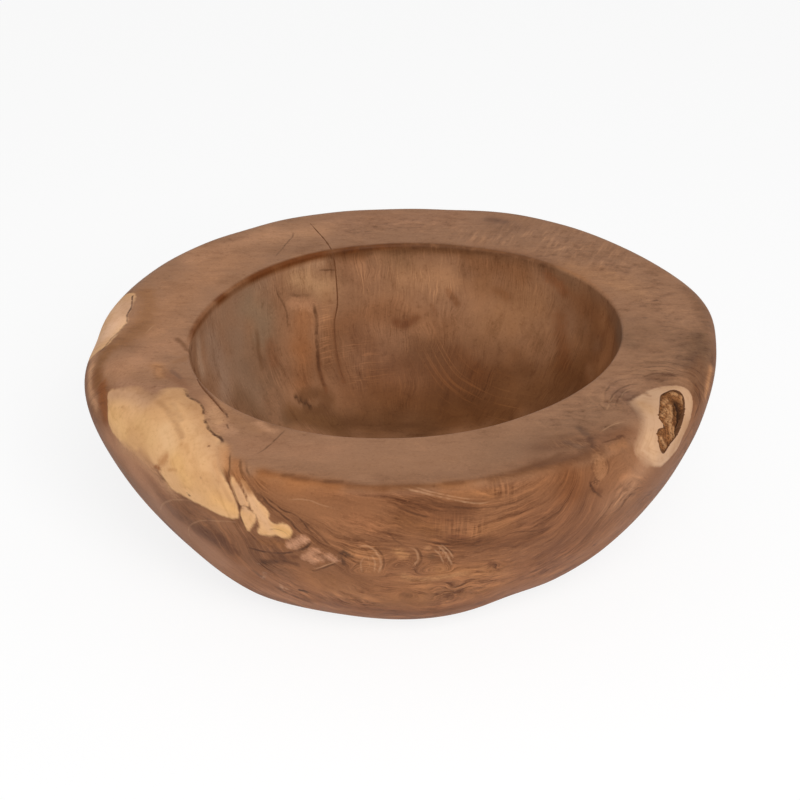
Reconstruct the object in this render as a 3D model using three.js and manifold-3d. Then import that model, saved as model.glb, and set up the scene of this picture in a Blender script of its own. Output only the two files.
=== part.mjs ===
// A bowl carved from one block of root wood: a broad flat rim, a rounded hollow, and a thick wall that
// sweeps in to a flat foot. Pale sapwood, a dead knot and filled drying cracks are bodies of other stuff
// let into the brown heartwood, each with its own bed. Nothing moves.
// Millimetres and degrees, +Z up, origin at the middle of the foot, azimuth 0 along +X and 90 along +Y.
import * as THREE from "three";
import { mergeVertices } from "three/addons/utils/BufferGeometryUtils.js";
import Module from "manifold-3d";

const wasm = await Module();
wasm.setup();

// Outside of the block
const HEIGHT = 104;
const RIM_RADIUS = 148;
const FOOT_RADIUS = 80;
const FOOT_RUN = 29;
const WALL_RISE = 26;
const EDGE_ROUNDING = 5;

// Hollow
const MOUTH_RADIUS = 101;
const LIP_BEVEL = 1.5;
const FLOOR_THICKNESS = 22;
const FLOOR_RADIUS = 40;
const FLOOR_RUN = 38;
const HOLLOW_DROP = 44;

// Sapwood, knot and crack filling
const FIT_GAP = 0.3;
const FLANK_DEPTH = 7;
const STREAK_DEPTH = 5;
const KNOT_DEPTH = 13;
const KNOT_RECESS = 1.5;
const KNOT_FLOOR = 4;
const CRACK_WIDTH = 1.4;
const CRACK_DEPTH = 4;
const BACK_CRACK_AZIMUTH = 112.5;
const BACK_CRACK_MARGIN = 6;
const BACK_CRACK_FOOT = 34;
const LEFT_CRACK_START = { azimuth: 208, inset: 4 };
const LEFT_CRACK_END = { azimuth: 227, inset: 8 };

// How the outlines leave the round: waves in a turn, swell, and the azimuth of a crest
const RIM_LOBES = [
  { waves: 2, swell: 1.8, crest: 60 },
  { waves: 3, swell: 0.6, crest: 52 },
  { waves: 4, swell: 1.2, crest: 0 },
  { waves: 5, swell: 0.8, crest: 34 },
  { waves: 6, swell: 1.5, crest: 8 },
];
const FOOT_LOBES = [{ waves: 2, swell: 5.6, crest: 57 }];
const MOUTH_LOBES = [
  { waves: 1, swell: 2.4, crest: 268 },
  { waves: 2, swell: 4.2, crest: 40 },
  { waves: 3, swell: 1.2, crest: 3 },
  { waves: 4, swell: 0.7, crest: 29 },
];

// Where the upper edge is worn to a soft shoulder
const SHOULDERS = [
  { azimuth: 203, spread: 30, extra: 18 },
  { azimuth: 328, spread: 22, extra: 11 },
  { azimuth: 90, spread: 60, extra: 3 },
];

// Outlines of the inlaid woods, counterclockwise, seen square on, from a point on the rounded edge
const FLANK = { azimuth: 222, elevation: 32 };
const FLANK_OUTLINE = [
  [-54, 3], [-46, -8], [-25, -14], [18, -17], [42, -16], [50, -11],
  [45, 0], [28, 13], [6, 16], [-14, 20], [-25, 16], [-40, 10],
];
const STREAK = { azimuth: 177, elevation: 45 };
const STREAK_OUTLINE = [[-33, 4], [-28, -8], [-10, -13], [12, -12], [22, -1], [13, 7], [0, 11], [-24, 9]];
const KNOT = { azimuth: 324, elevation: 35 };
const COLLAR_OUTLINE = [
  [-23, 3], [-22, -5], [-10, -13], [2, -14], [14, -9], [27, -2],
  [32, 6], [26, 13], [14, 16], [2, 15], [-12, 6],
];
const CORE_OUTLINE = [[-8, -7], [4, -7], [17, -2], [26, 6], [23, 11], [14, 10], [6, 8], [0, 3], [-6, -1]];

// Colours and roughness of the woods and the filling
const HEARTWOOD = { color: 0x8f6243, roughness: 0.5 };
const SAPWOOD = { color: 0xd9aa79, roughness: 0.5 };
const COLLAR_WOOD = { color: 0xd1a681, roughness: 0.5 };
const DEAD_WOOD = { color: 0x8c5d3a, roughness: 0.8 };
const FILLING = { color: 0x4a2d1c, roughness: 0.7 };

// Fineness of the facets, and how far cutting bodies pass the surfaces that they cut
const AROUND = 84;
const WALL_STEPS = 12;
const EDGE_STEPS = 4;
const HOLLOW_STEPS = 10;
const OUTLINE_STEPS = 36;
const OVERCUT = 5;

function lobed(mean, lobes, azimuth) {
  const swells = lobes.map(({ waves, swell, crest }) => {
    return swell * Math.cos(waves * THREE.MathUtils.degToRad(azimuth - crest));
  });
  return swells.reduce((total, swell) => total + swell, mean);
}

function roundingAt(azimuth) {
  const extras = SHOULDERS.map((shoulder) => {
    const turn = THREE.MathUtils.euclideanModulo(azimuth - shoulder.azimuth + 180, 360) - 180;
    return shoulder.extra * Math.exp(-((turn / shoulder.spread) ** 2));
  });
  return extras.reduce((total, extra) => total + extra, EDGE_ROUNDING);
}

function rimAt(azimuth) {
  return lobed(RIM_RADIUS, RIM_LOBES, azimuth);
}

function mouthAt(azimuth) {
  return lobed(MOUTH_RADIUS, MOUTH_LOBES, azimuth);
}

function onBearing(azimuth, radius, height) {
  const angle = THREE.MathUtils.degToRad(azimuth);
  return new THREE.Vector3(radius * Math.cos(angle), radius * Math.sin(angle), height);
}

// Outer profile, from the foot up the wall and over the rounded edge to the flat of the rim
function blockProfile(azimuth) {
  const foot = lobed(FOOT_RADIUS, FOOT_LOBES, azimuth);
  const rim = rimAt(azimuth);
  const rounding = roundingAt(azimuth);
  const shoulder = HEIGHT - rounding;
  const wall = new THREE.CubicBezierCurve(
    new THREE.Vector2(foot, 0),
    new THREE.Vector2(foot + FOOT_RUN, 0),
    new THREE.Vector2(rim, shoulder - WALL_RISE),
    new THREE.Vector2(rim, shoulder),
  );
  const edge = new THREE.EllipseCurve(rim - rounding, shoulder, rounding, rounding, 0, Math.PI / 2);
  return [...wall.getPoints(WALL_STEPS), ...edge.getPoints(EDGE_STEPS).slice(1)];
}

// Inner profile, from the edge of the flat floor up the wall and out past the bevelled lip
function hollowProfile(azimuth) {
  const mouth = mouthAt(azimuth);
  const lip = HEIGHT - LIP_BEVEL;
  const wall = new THREE.CubicBezierCurve(
    new THREE.Vector2(FLOOR_RADIUS, FLOOR_THICKNESS),
    new THREE.Vector2(FLOOR_RADIUS + FLOOR_RUN, FLOOR_THICKNESS),
    new THREE.Vector2(mouth, lip - HOLLOW_DROP),
    new THREE.Vector2(mouth, lip),
  );
  const flare = LIP_BEVEL + OVERCUT;
  return [...wall.getPoints(HOLLOW_STEPS), new THREE.Vector2(mouth + flare, lip + flare)];
}

// Closed body whose profile changes as it goes round, capped flat at its bottom and top
function carved(profileAt) {
  const rings = Array.from({ length: AROUND }, (_, step) => {
    const azimuth = (360 * step) / AROUND;
    return profileAt(azimuth).map((point) => onBearing(azimuth, point.x, point.y));
  });
  const levels = rings[0].length;
  const bottom = AROUND * levels;
  const top = bottom + 1;
  const points = rings.flat();
  points.push(new THREE.Vector3(0, 0, rings[0][0].z), new THREE.Vector3(0, 0, rings[0][levels - 1].z));
  const faces = [];
  for (let step = 0; step < AROUND; step += 1) {
    const here = step * levels;
    const next = ((step + 1) % AROUND) * levels;
    for (let level = 0; level < levels - 1; level += 1) {
      faces.push(here + level, next + level, next + level + 1);
      faces.push(here + level, next + level + 1, here + level + 1);
    }
    faces.push(bottom, next, here);
    faces.push(top, here + levels - 1, next + levels - 1);
  }
  return new THREE.BufferGeometry().setFromPoints(points).setIndex(faces);
}

function solid(geometry) {
  geometry.deleteAttribute("normal");
  geometry.deleteAttribute("uv");
  const merged = mergeVertices(geometry);
  const vertProperties = merged.attributes.position.array;
  const triVerts = new Uint32Array(merged.index.array);
  return new wasm.Manifold(new wasm.Mesh({ numProp: 3, vertProperties, triVerts }));
}

function facing({ azimuth, elevation }) {
  const tilt = THREE.MathUtils.degToRad(elevation);
  return onBearing(azimuth, Math.cos(tilt), Math.sin(tilt));
}

const blockGeometry = carved(blockProfile);
const hollowGeometry = carved(hollowProfile);
const block = solid(blockGeometry);
const shell = block.subtract(solid(hollowGeometry));

// The block, or the hollowed shell, moved as a whole, so that what it uncovers is a skin of even depth
function shiftedBlock(shift) {
  return solid(blockGeometry.clone().translate(shift.x, shift.y, shift.z));
}

function shiftedShell(shift) {
  return shiftedBlock(shift).subtract(solid(hollowGeometry.clone().translate(shift.x, shift.y, shift.z)));
}

// A smooth closed outline through the given points, set out by a clearance
function outlineShape(points, clearance) {
  const curve = new THREE.CatmullRomCurve3(points.map(([x, y]) => new THREE.Vector3(x, y, 0)), true);
  const ring = Array.from({ length: OUTLINE_STEPS }, (_, step) => {
    const point = curve.getPointAt(step / OUTLINE_STEPS);
    const ahead = curve.getTangentAt(step / OUTLINE_STEPS);
    return new THREE.Vector2(point.x + clearance * ahead.y, point.y - clearance * ahead.x);
  });
  return new THREE.Shape(ring);
}

// A column with that outline through the rounded edge, along the way that an inlay faces
function column(inlay, outline, clearance) {
  const rounding = roundingAt(inlay.azimuth);
  const outward = facing(inlay);
  const across = onBearing(inlay.azimuth + 90, 1, 0);
  const upward = new THREE.Vector3().crossVectors(outward, across);
  const anchor = onBearing(inlay.azimuth, rimAt(inlay.azimuth) - rounding, HEIGHT - rounding);
  anchor.addScaledVector(outward, rounding);
  const reach = Math.max(...outline.flat().map(Math.abs));
  const geometry = new THREE.ExtrudeGeometry(outlineShape(outline, clearance), {
    depth: 2 * reach,
    steps: 1,
    bevelEnabled: false,
  });
  geometry.translate(0, 0, -reach);
  geometry.applyMatrix4(new THREE.Matrix4().makeBasis(across, upward, outward).setPosition(anchor));
  return solid(geometry);
}

// The wood inside a column between two depths below the surface, and the bed that it lies in
function inlaid(inlay, outline, recess, depth) {
  const outward = facing(inlay);
  const skin = shiftedBlock(outward.clone().multiplyScalar(-recess));
  return column(inlay, outline, 0).intersect(skin).subtract(shiftedBlock(outward.multiplyScalar(-depth)));
}

function bed(inlay, outline, depth) {
  const sunk = facing(inlay).multiplyScalar(-depth - FIT_GAP);
  return column(inlay, outline, FIT_GAP).subtract(shiftedBlock(sunk));
}

// A thin upright slab between two points on plan, from a given height to above the rim
function crackSlab(start, end, low, clearance) {
  const run = new THREE.Vector3().subVectors(end, start);
  const base = low - clearance;
  const top = HEIGHT + OVERCUT;
  const length = run.length() + 2 * clearance;
  const width = CRACK_WIDTH + 2 * clearance;
  const geometry = new THREE.BoxGeometry(length, width, top - base);
  geometry.rotateZ(Math.atan2(run.y, run.x));
  geometry.translate((start.x + end.x) / 2, (start.y + end.y) / 2, (base + top) / 2);
  return solid(geometry);
}

// Crack at the back: from near the edge over the flat of the rim and down the inside of the wall
const backCrackFlat = rimAt(BACK_CRACK_AZIMUTH) - roundingAt(BACK_CRACK_AZIMUTH);
const backCrackStart = onBearing(BACK_CRACK_AZIMUTH, FLOOR_RADIUS, 0);
const backCrackEnd = onBearing(BACK_CRACK_AZIMUTH, backCrackFlat - BACK_CRACK_MARGIN, 0);

function shellBehindBackCrack(depth) {
  return shiftedShell(onBearing(BACK_CRACK_AZIMUTH, depth, -depth));
}

function backCrackSlab(clearance) {
  return crackSlab(backCrackStart, backCrackEnd, BACK_CRACK_FOOT, clearance);
}

// Crack at the left: slanting outward across the rim from just outside the mouth, through any sapwood there
function onRim({ azimuth, inset }) {
  return onBearing(azimuth, mouthAt(azimuth) + inset, 0);
}

function leftCrackSlab(clearance) {
  const low = HEIGHT - CRACK_DEPTH;
  return crackSlab(onRim(LEFT_CRACK_START), onRim(LEFT_CRACK_END), low, clearance);
}

const coreDepth = KNOT_DEPTH - KNOT_FLOOR;

const bowlBody = shell
  .subtract(bed(FLANK, FLANK_OUTLINE, FLANK_DEPTH))
  .subtract(bed(STREAK, STREAK_OUTLINE, STREAK_DEPTH))
  .subtract(bed(KNOT, COLLAR_OUTLINE, KNOT_DEPTH))
  .subtract(backCrackSlab(FIT_GAP).subtract(shellBehindBackCrack(CRACK_DEPTH + FIT_GAP)))
  .subtract(leftCrackSlab(FIT_GAP));
const sapwoodFlank = inlaid(FLANK, FLANK_OUTLINE, 0, FLANK_DEPTH).subtract(leftCrackSlab(FIT_GAP));
const sapwoodStreak = inlaid(STREAK, STREAK_OUTLINE, 0, STREAK_DEPTH);
const knotCollar = inlaid(KNOT, COLLAR_OUTLINE, 0, KNOT_DEPTH).subtract(bed(KNOT, CORE_OUTLINE, coreDepth));
const knotCore = inlaid(KNOT, CORE_OUTLINE, KNOT_RECESS, coreDepth);
const backCrackFilling = backCrackSlab(0).intersect(shell).subtract(shellBehindBackCrack(CRACK_DEPTH));
const leftCrackFilling = leftCrackSlab(0).intersect(block);

function piece(name, body, finish) {
  const { vertProperties, triVerts } = body.getMesh();
  const geometry = new THREE.BufferGeometry();
  geometry.setAttribute("position", new THREE.BufferAttribute(new Float32Array(vertProperties), 3));
  geometry.setIndex(new THREE.BufferAttribute(new Uint32Array(triVerts), 1));
  geometry.computeVertexNormals();
  const mesh = new THREE.Mesh(geometry, new THREE.MeshStandardMaterial({ ...finish, metalness: 0 }));
  mesh.name = name;
  return mesh;
}

const bowl = new THREE.Group();
bowl.add(
  piece("bowl_body", bowlBody, HEARTWOOD),
  piece("sapwood_flank", sapwoodFlank, SAPWOOD),
  piece("sapwood_streak", sapwoodStreak, SAPWOOD),
  piece("knot_collar", knotCollar, COLLAR_WOOD),
  piece("knot_core", knotCore, DEAD_WOOD),
  piece("crack_filling_back", backCrackFilling, FILLING),
  piece("crack_filling_left", leftCrackFilling, FILLING),
);

export default bowl;
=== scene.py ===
# A bowl carved from one block of root wood. Its surface is one grid of points, worked out from the bowl's
# sizes. The figure of the wood, with some painted shade and light, is drawn on that grid as named fields.
# The sapwood, the knot and the crack fillings are closed pieces of their own. Lengths are in millimetres,
# and in metres once a mesh is made.
import math

import bpy
import numpy as np
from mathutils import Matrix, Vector, noise
from mathutils.bvhtree import BVHTree


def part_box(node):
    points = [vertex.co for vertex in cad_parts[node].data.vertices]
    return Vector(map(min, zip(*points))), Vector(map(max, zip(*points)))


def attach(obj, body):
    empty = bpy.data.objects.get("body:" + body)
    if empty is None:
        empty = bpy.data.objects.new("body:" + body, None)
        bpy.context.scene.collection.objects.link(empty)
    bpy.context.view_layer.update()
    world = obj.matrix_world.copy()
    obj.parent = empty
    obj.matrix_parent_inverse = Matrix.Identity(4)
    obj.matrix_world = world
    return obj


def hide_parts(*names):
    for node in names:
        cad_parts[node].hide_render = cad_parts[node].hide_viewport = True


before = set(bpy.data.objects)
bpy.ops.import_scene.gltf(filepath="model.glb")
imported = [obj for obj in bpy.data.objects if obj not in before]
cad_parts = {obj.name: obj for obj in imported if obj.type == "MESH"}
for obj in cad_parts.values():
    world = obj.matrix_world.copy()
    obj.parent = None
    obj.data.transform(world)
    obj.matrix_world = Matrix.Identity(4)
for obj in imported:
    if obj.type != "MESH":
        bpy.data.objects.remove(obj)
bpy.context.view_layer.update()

MM = 0.001

# Sizes of the carved block and its hollow
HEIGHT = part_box("bowl_body")[1].z / MM
RIM_RADIUS = 148.0
FOOT_RADIUS = 80.0
FOOT_RUN = 29.0
WALL_RISE = 26.0
EDGE_ROUNDING = 5.0
MOUTH_RADIUS = 101.0
LIP_BEVEL = 1.5
FLOOR_THICKNESS = 22.0
FLOOR_RADIUS = 40.0
FLOOR_RUN = 38.0
HOLLOW_DROP = 44.0

# How the outlines leave the round: waves in a turn, swell, azimuth of a crest
RIM_LOBES = [(2, 1.8, 60), (3, 0.6, 52), (4, 1.2, 0), (5, 0.8, 34), (6, 1.5, 8)]
FOOT_LOBES = [(2, 5.6, 57)]
MOUTH_LOBES = [(1, 2.4, 268), (2, 4.2, 40), (3, 1.2, 3), (4, 0.7, 29)]

# Soft shoulders of the upper edge: azimuth, spread in degrees, extra rounding
SHOULDERS = [(203, 30, 18), (328, 22, 11), (90, 60, 3)]

# Slight swells left by the carving tools: azimuth, spread in degrees, swell
RIM_SWELLS = [
    (15, 12, 1.2), (0, 9, -0.8), (52, 19, 2.8), (67, 6, 0.6), (81, 6, -1.4), (88, 14, -0.6), (101, 6, 0.8),
    (118, 7, 1.0), (146, 13, 2.1), (166, 9, 0.1), (178, 6, -1.6), (189, 8, 1.4), (345, 14, 0.9),
]
FOOT_SWELLS = [
    (202, 16, -1.0), (214, 7, -0.8), (228, 10, 2.0), (249, 14, -2.0), (280, 15, 1.7), (300, 10, -1.5),
    (318, 13, 2.2), (345, 14, 3.4),
]

# Slow swells left by sanding by hand: wavelength and height of each kind, and how many there are of a kind
HAND_SWELLS = [(95, 0.07), (70, 0.06), (48, 0.05), (34, 0.04), (24, 0.03)]
SWELLS_OF_A_KIND = 3
HAND_SEED = 11

# Inlaid woods: azimuth and elevation that each faces, and its depth
FLANK, FLANK_DEPTH = (222, 32), 7.0
STREAK, STREAK_DEPTH = (177, 45), 5.0
KNOT, KNOT_DEPTH = (324, 35), 13.0
KNOT_RECESS = 1.5
KNOT_PIT = 9.0
FIT_GAP = 0.3

# Their outlines, as pixels of the photograph
FLANK_OUTLINE = [
    (109, 391), (122, 389), (136, 389), (141, 394), (152, 399), (162, 393), (167, 389), (184, 389),
    (189, 397), (201, 405), (204, 411), (206, 421), (212, 431), (221, 439), (220, 456), (222, 472),
    (230, 488), (237, 505), (238, 518), (223, 516), (201, 505), (182, 495), (171, 488), (164, 478),
    (158, 470), (149, 462), (134, 451), (120, 441), (110, 427), (108, 408),
]
STREAK_OUTLINE = [(133, 293), (131, 308), (127, 316), (127, 323), (114, 338), (105, 347), (93, 356)]
COLLAR_OUTLINE = [
    (632, 402), (643, 394), (656, 388), (673, 386), (685, 388), (692, 397), (692, 410), (689, 423),
    (683, 436), (677, 449), (669, 459), (661, 466), (654, 466), (646, 461), (636, 453), (637, 444),
    (641, 435), (643, 420), (639, 411),
]
CORE_OUTLINE = [
    (661, 396), (667, 392), (673, 390), (680, 392), (684, 399), (684.5, 411), (682, 423), (677, 435),
    (670, 444), (664, 453), (660, 449), (658, 438), (658, 430), (665, 427), (661, 421), (659, 415),
    (660, 404),
]
TONGUE_OUTLINES = [
    [(231, 477), (236, 481), (241, 489), (246, 499), (249, 506), (247, 509), (254, 513), (256, 519),
     (253, 525), (249, 531), (246, 528), (242, 519), (240, 511), (243, 508), (238, 502), (234, 493)],
    [(241, 479), (246, 482), (251, 490), (258, 501), (265, 507), (269, 513), (269, 519), (275, 524),
     (282, 523), (288, 525), (292, 531), (290, 537), (283, 538), (276, 535), (268, 536), (258, 533),
     (259, 525), (257, 517), (251, 507), (247, 496), (243, 487)],
]

# The far side of the streak, out of the photograph's sight, in the streak's own plane
STREAK_FAR_SIDE = [(20, -6), (12, -12), (-10, -13), (-22, -10), (-31, -4)]

# The photograph's camera
PHOTO_SIZE = 800
FOCAL_PIXELS = 2532.0
CAMERA_PITCH = 28.35
CAMERA_DISTANCE = 1200.0
CAMERA_SHIFT = (-2.6, -32.7)

# Grid: azimuth spans with their steps in degrees, and rows in each stretch of the profile
COLUMN_SPANS = [(-20, 190, 1.0), (190, 262, 0.48), (262, 340, 0.55)]
UNDER, WALL, EDGE, RIM, LIP, HOLLOW, FLOOR = range(7)
ROWS = {UNDER: 4, WALL: 82, EDGE: 16, RIM: 32, LIP: 4, HOLLOW: 50, FLOOR: 4}
MOUTH_CROWDING = 1.3


def srgb(red, green, blue):
    """Linear colour of a display colour given in 0 to 255."""
    shares = [value / 255 for value in (red, green, blue)]
    return [s / 12.92 if s <= 0.04045 else ((s + 0.055) / 1.055) ** 2.4 for s in shares]


def smoothstep(value, low, high):
    share = np.clip((value - low) / (high - low), 0, 1)
    return share * share * (3 - 2 * share)


# Shape of the bowl


def lobed(mean, lobes, azimuth):
    return mean + sum(swell * np.cos(waves * np.radians(azimuth - crest)) for waves, swell, crest in lobes)


def turn_between(azimuth, towards):
    return (azimuth - towards + 180) % 360 - 180


def swollen(swells, azimuth):
    return sum(swell * np.exp(-((turn_between(azimuth, at) / spread) ** 2)) for at, spread, swell in swells)


def rounding_at(azimuth):
    return EDGE_ROUNDING + swollen(SHOULDERS, azimuth)


def bezier(points, share):
    rest = 1 - share
    weights = (rest**3, 3 * share * rest**2, 3 * share**2 * rest, share**3)
    radius = sum(weight * point[0] for weight, point in zip(weights, points))
    height = sum(weight * point[1] for weight, point in zip(weights, points))
    return radius, height


def profile(azimuth, place):
    """Radius and height at a place on the profile: the stretch's number plus the share of the stretch."""
    stretch = np.clip(np.floor(place), UNDER, FLOOR)
    share = place - stretch
    rim = lobed(RIM_RADIUS, RIM_LOBES, azimuth) + swollen(RIM_SWELLS, azimuth)
    foot = lobed(FOOT_RADIUS, FOOT_LOBES, azimuth) + swollen(FOOT_SWELLS, azimuth)
    mouth = lobed(MOUTH_RADIUS, MOUTH_LOBES, azimuth)
    rounding = rounding_at(azimuth)
    shoulder = HEIGHT - rounding
    lip = HEIGHT - LIP_BEVEL
    bend = share * math.pi / 2
    flat_out, flat_in = rim - rounding, mouth + LIP_BEVEL
    wall = bezier([(foot, 0), (foot + FOOT_RUN, 0), (rim, shoulder - WALL_RISE), (rim, shoulder)], share)
    hollow_points = [(mouth, lip), (mouth, lip - HOLLOW_DROP)]
    hollow_points += [(FLOOR_RADIUS + FLOOR_RUN, FLOOR_THICKNESS), (FLOOR_RADIUS, FLOOR_THICKNESS)]
    hollow = bezier(hollow_points, share)
    stretches = {
        UNDER: (foot * share, 0 * share),
        WALL: wall,
        EDGE: (flat_out + rounding * np.cos(bend), shoulder + rounding * np.sin(bend)),
        RIM: (flat_out + (flat_in - flat_out) * share, HEIGHT + 0 * share),
        LIP: (flat_in - LIP_BEVEL * np.sin(bend), HEIGHT - LIP_BEVEL * (1 - np.cos(bend))),
        HOLLOW: hollow,
        FLOOR: (FLOOR_RADIUS * (1 - share), FLOOR_THICKNESS + 0 * share),
    }
    radius = np.select([stretch == key for key in stretches], [pair[0] for pair in stretches.values()])
    height = np.select([stretch == key for key in stretches], [pair[1] for pair in stretches.values()])
    return radius, height


def surface(azimuth, place):
    radius, height = profile(azimuth, place)
    angle = np.radians(azimuth)
    return np.stack([radius * np.cos(angle), radius * np.sin(angle), height], -1)


def grid_places():
    columns = np.concatenate([np.arange(low, high, step) for low, high, step in COLUMN_SPANS])
    rows = []
    for stretch, count in ROWS.items():
        shares = np.arange(count) / count
        rows.append(stretch + (shares**MOUTH_CROWDING if stretch == HOLLOW else shares))
    return np.meshgrid(columns.astype(float), np.concatenate(rows)[1:], indexing="ij")


def hand_unevenness(points):
    """Slow swells of a hand-sanded surface, as a height over the true one."""
    draw = np.random.default_rng(HAND_SEED)
    height = np.zeros(points.shape[:-1])
    for wavelength, swell in HAND_SWELLS:
        for _ in range(SWELLS_OF_A_KIND):
            heading = draw.normal(size=3)
            heading /= np.linalg.norm(heading)
            phase = draw.uniform(0, 2 * math.pi)
            height += swell * np.sin(points @ heading * (2 * math.pi / wavelength) + phase)
    return height


def grid_normals(points):
    around = np.roll(points, -1, 0) - np.roll(points, 1, 0)
    along = np.gradient(points, axis=1)
    normals = np.cross(around, along)
    return normals / np.linalg.norm(normals, axis=-1, keepdims=True)


# Inlays: the plane that each one is drawn in


def direction(azimuth, elevation):
    turn, tilt = math.radians(azimuth), math.radians(elevation)
    return np.array([math.cos(turn) * math.cos(tilt), math.sin(turn) * math.cos(tilt), math.sin(tilt)])


def inlay_frame(inlay):
    """Anchor on the rounded edge, and the across, upward and outward directions of an inlay's plane."""
    azimuth = inlay[0]
    outward = direction(*inlay)
    across = direction(azimuth + 90, 0)
    rounding = rounding_at(azimuth)
    centre = direction(azimuth, 0) * (lobed(RIM_RADIUS, RIM_LOBES, azimuth) - rounding)
    centre[2] = HEIGHT - rounding
    return centre + outward * rounding, across, np.cross(outward, across), outward


def between(before, start, end, after, share):
    """A point of the smooth curve from start to end, bent by the points before and after them."""
    slope = end - before
    square = 2 * before - 5 * start + 4 * end - after
    cube = 3 * start - before - 3 * end + after
    return 0.5 * (2 * start + slope * share + square * share**2 + cube * share**3)


def rounded_outline(outline, steps=12):
    """A smooth closed line through the points of an outline."""
    knots = np.array(outline, float)
    before, ahead, beyond = (np.roll(knots, shift, 0) for shift in (1, -1, -2))
    ring = [between(before, knots, ahead, beyond, share) for share in np.arange(steps) / steps]
    return np.stack(ring, 1).reshape(-1, 2)


def outline_distance(places, outline):
    """Distance from points of a plane to a closed outline, negative inside."""
    ring = rounded_outline(outline)
    start, step = ring, np.roll(ring, -1, 0) - ring
    nearest = np.full(len(places), np.inf)
    inside = np.zeros(len(places), bool)
    for (sx, sy), (dx, dy) in zip(start, step):
        px, py = places[:, 0] - sx, places[:, 1] - sy
        share = np.clip((px * dx + py * dy) / (dx * dx + dy * dy), 0, 1)
        nearest = np.minimum(nearest, np.hypot(px - share * dx, py - share * dy))
        if dy:
            crosses = (py < 0) != (py - dy < 0)
            inside ^= crosses & (px < py * dx / dy)
    return np.where(inside, -nearest, nearest)


# Distance given to what is far from an outline, and how far an inlay reaches from its anchor and its plane
FAR = 40.0
INLAY_REACH = 100.0
INLAY_THROUGH = 45.0


def inlay_distance(points, place, inlay, outline):
    """Distance from an inlay's outline, negative inside it, for points outside the hollow."""
    anchor, across, upward, outward = inlay_frame(inlay)
    offset = points - anchor
    near = (np.abs(offset @ outward) < INLAY_THROUGH) & (np.linalg.norm(offset, axis=-1) < INLAY_REACH)
    near &= place < LIP
    field = np.full(points.shape[:-1], FAR)
    places = np.stack([offset[near] @ across, offset[near] @ upward], -1)
    field[near] = np.minimum(outline_distance(places, outline), FAR)
    return field


# Largest share of the way to its neighbour that a grid point is moved
SNAP_SHARE = 0.5


def snap_to_outline(azimuth, place, field):
    """Moves grid points that lie next to an outline onto it, so that pieces part along a clean line."""
    best = np.full(field.shape, SNAP_SHARE)
    moved_azimuth, moved_place = azimuth.copy(), place.copy()
    for axis, shift in ((0, 1), (0, -1), (1, 1), (1, -1)):
        other = np.roll(field, shift, axis)
        crossing = (field * other < 0) & (np.abs(field) < FAR) & (np.abs(other) < FAR)
        share = np.where(crossing, field / np.where(crossing, field - other, 1), 1)
        closer = share < best
        best = np.where(closer, share, best)
        step = turn_between(np.roll(azimuth, shift, axis), azimuth)
        moved_azimuth = np.where(closer, azimuth + share * step, moved_azimuth)
        moved_place = np.where(closer, place + share * (np.roll(place, shift, axis) - place), moved_place)
    return moved_azimuth, moved_place


# The grid, and places on it seen in the photograph

pitch = math.radians(CAMERA_PITCH)
camera_back = np.array([0, -math.cos(pitch), math.sin(pitch)])
camera_up = np.array([0, math.sin(pitch), math.cos(pitch)])
camera_right = np.array([1.0, 0, 0])
camera_eye = np.array([0, 0, HEIGHT]) + camera_back * CAMERA_DISTANCE
camera_eye = camera_eye + camera_right * CAMERA_SHIFT[0] + camera_up * CAMERA_SHIFT[1]


# Heights between which the unevenness sets in, so that the foot stays flat
UNEVEN_FROM, UNEVEN_FULL = 1.0, 12.0


def carved(azimuth, place):
    """Grid points with the unevenness of the hand work."""
    true_points = surface(azimuth, place)
    standing = smoothstep(true_points[..., 2], UNEVEN_FROM, UNEVEN_FULL)
    return true_points + grid_normals(true_points) * (hand_unevenness(true_points) * standing)[..., None]


def grid_quads():
    column = np.arange(COLUMNS)[:, None]
    level = np.arange(LEVELS - 1)[None, :]
    here, ahead = column * LEVELS + level, (column + 1) % COLUMNS * LEVELS + level
    return np.stack([here, ahead, ahead + 1, here + 1], -1).reshape(-1, 4)


def photo_ray(x, y):
    """Where the photograph's line of sight through a pixel meets the bowl: point, normal and face."""
    middle = PHOTO_SIZE / 2
    ray = camera_right * (x - middle) / FOCAL_PIXELS - camera_up * (y - middle) / FOCAL_PIXELS - camera_back
    spot, normal, face, _ = bowl_tree.ray_cast(Vector(camera_eye), Vector(ray))
    if spot is None:
        raise ValueError(f"pixel {x}, {y} is beside the bowl")
    return np.array(spot), np.array(normal), face


def seen(x, y):
    """The point of the bowl, and its normal, at a pixel of the photograph."""
    spot, normal, _ = photo_ray(x, y)
    return spot, normal


def seen_value(x, y, field):
    """A field's value at a pixel of the photograph."""
    spot, _, face = photo_ray(x, y)
    weights = 1 / (np.linalg.norm(flat_points[quads[face]] - spot, axis=1) + 0.001)
    return float(field.reshape(-1)[quads[face]] @ weights / weights.sum())


def outline_seen(inlay, pixels):
    """An outline traced on the photograph, laid into the plane of an inlay."""
    anchor, across, upward, _ = inlay_frame(inlay)
    offsets = [seen(x, y)[0] - anchor for x, y in pixels]
    return [(offset @ across, offset @ upward) for offset in offsets]


azimuth, place = grid_places()
COLUMNS, LEVELS = azimuth.shape
quads = grid_quads()
points = carved(azimuth, place)
bowl_tree = BVHTree.FromPolygons(points.reshape(-1, 3).tolist(), quads.tolist())

flank_outline = outline_seen(FLANK, FLANK_OUTLINE)
streak_outline = outline_seen(STREAK, STREAK_OUTLINE) + STREAK_FAR_SIDE
collar_outline = outline_seen(KNOT, COLLAR_OUTLINE)
core_outline = outline_seen(KNOT, CORE_OUTLINE)
tongue_outlines = [outline_seen(FLANK, pixels) for pixels in TONGUE_OUTLINES]

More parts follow.
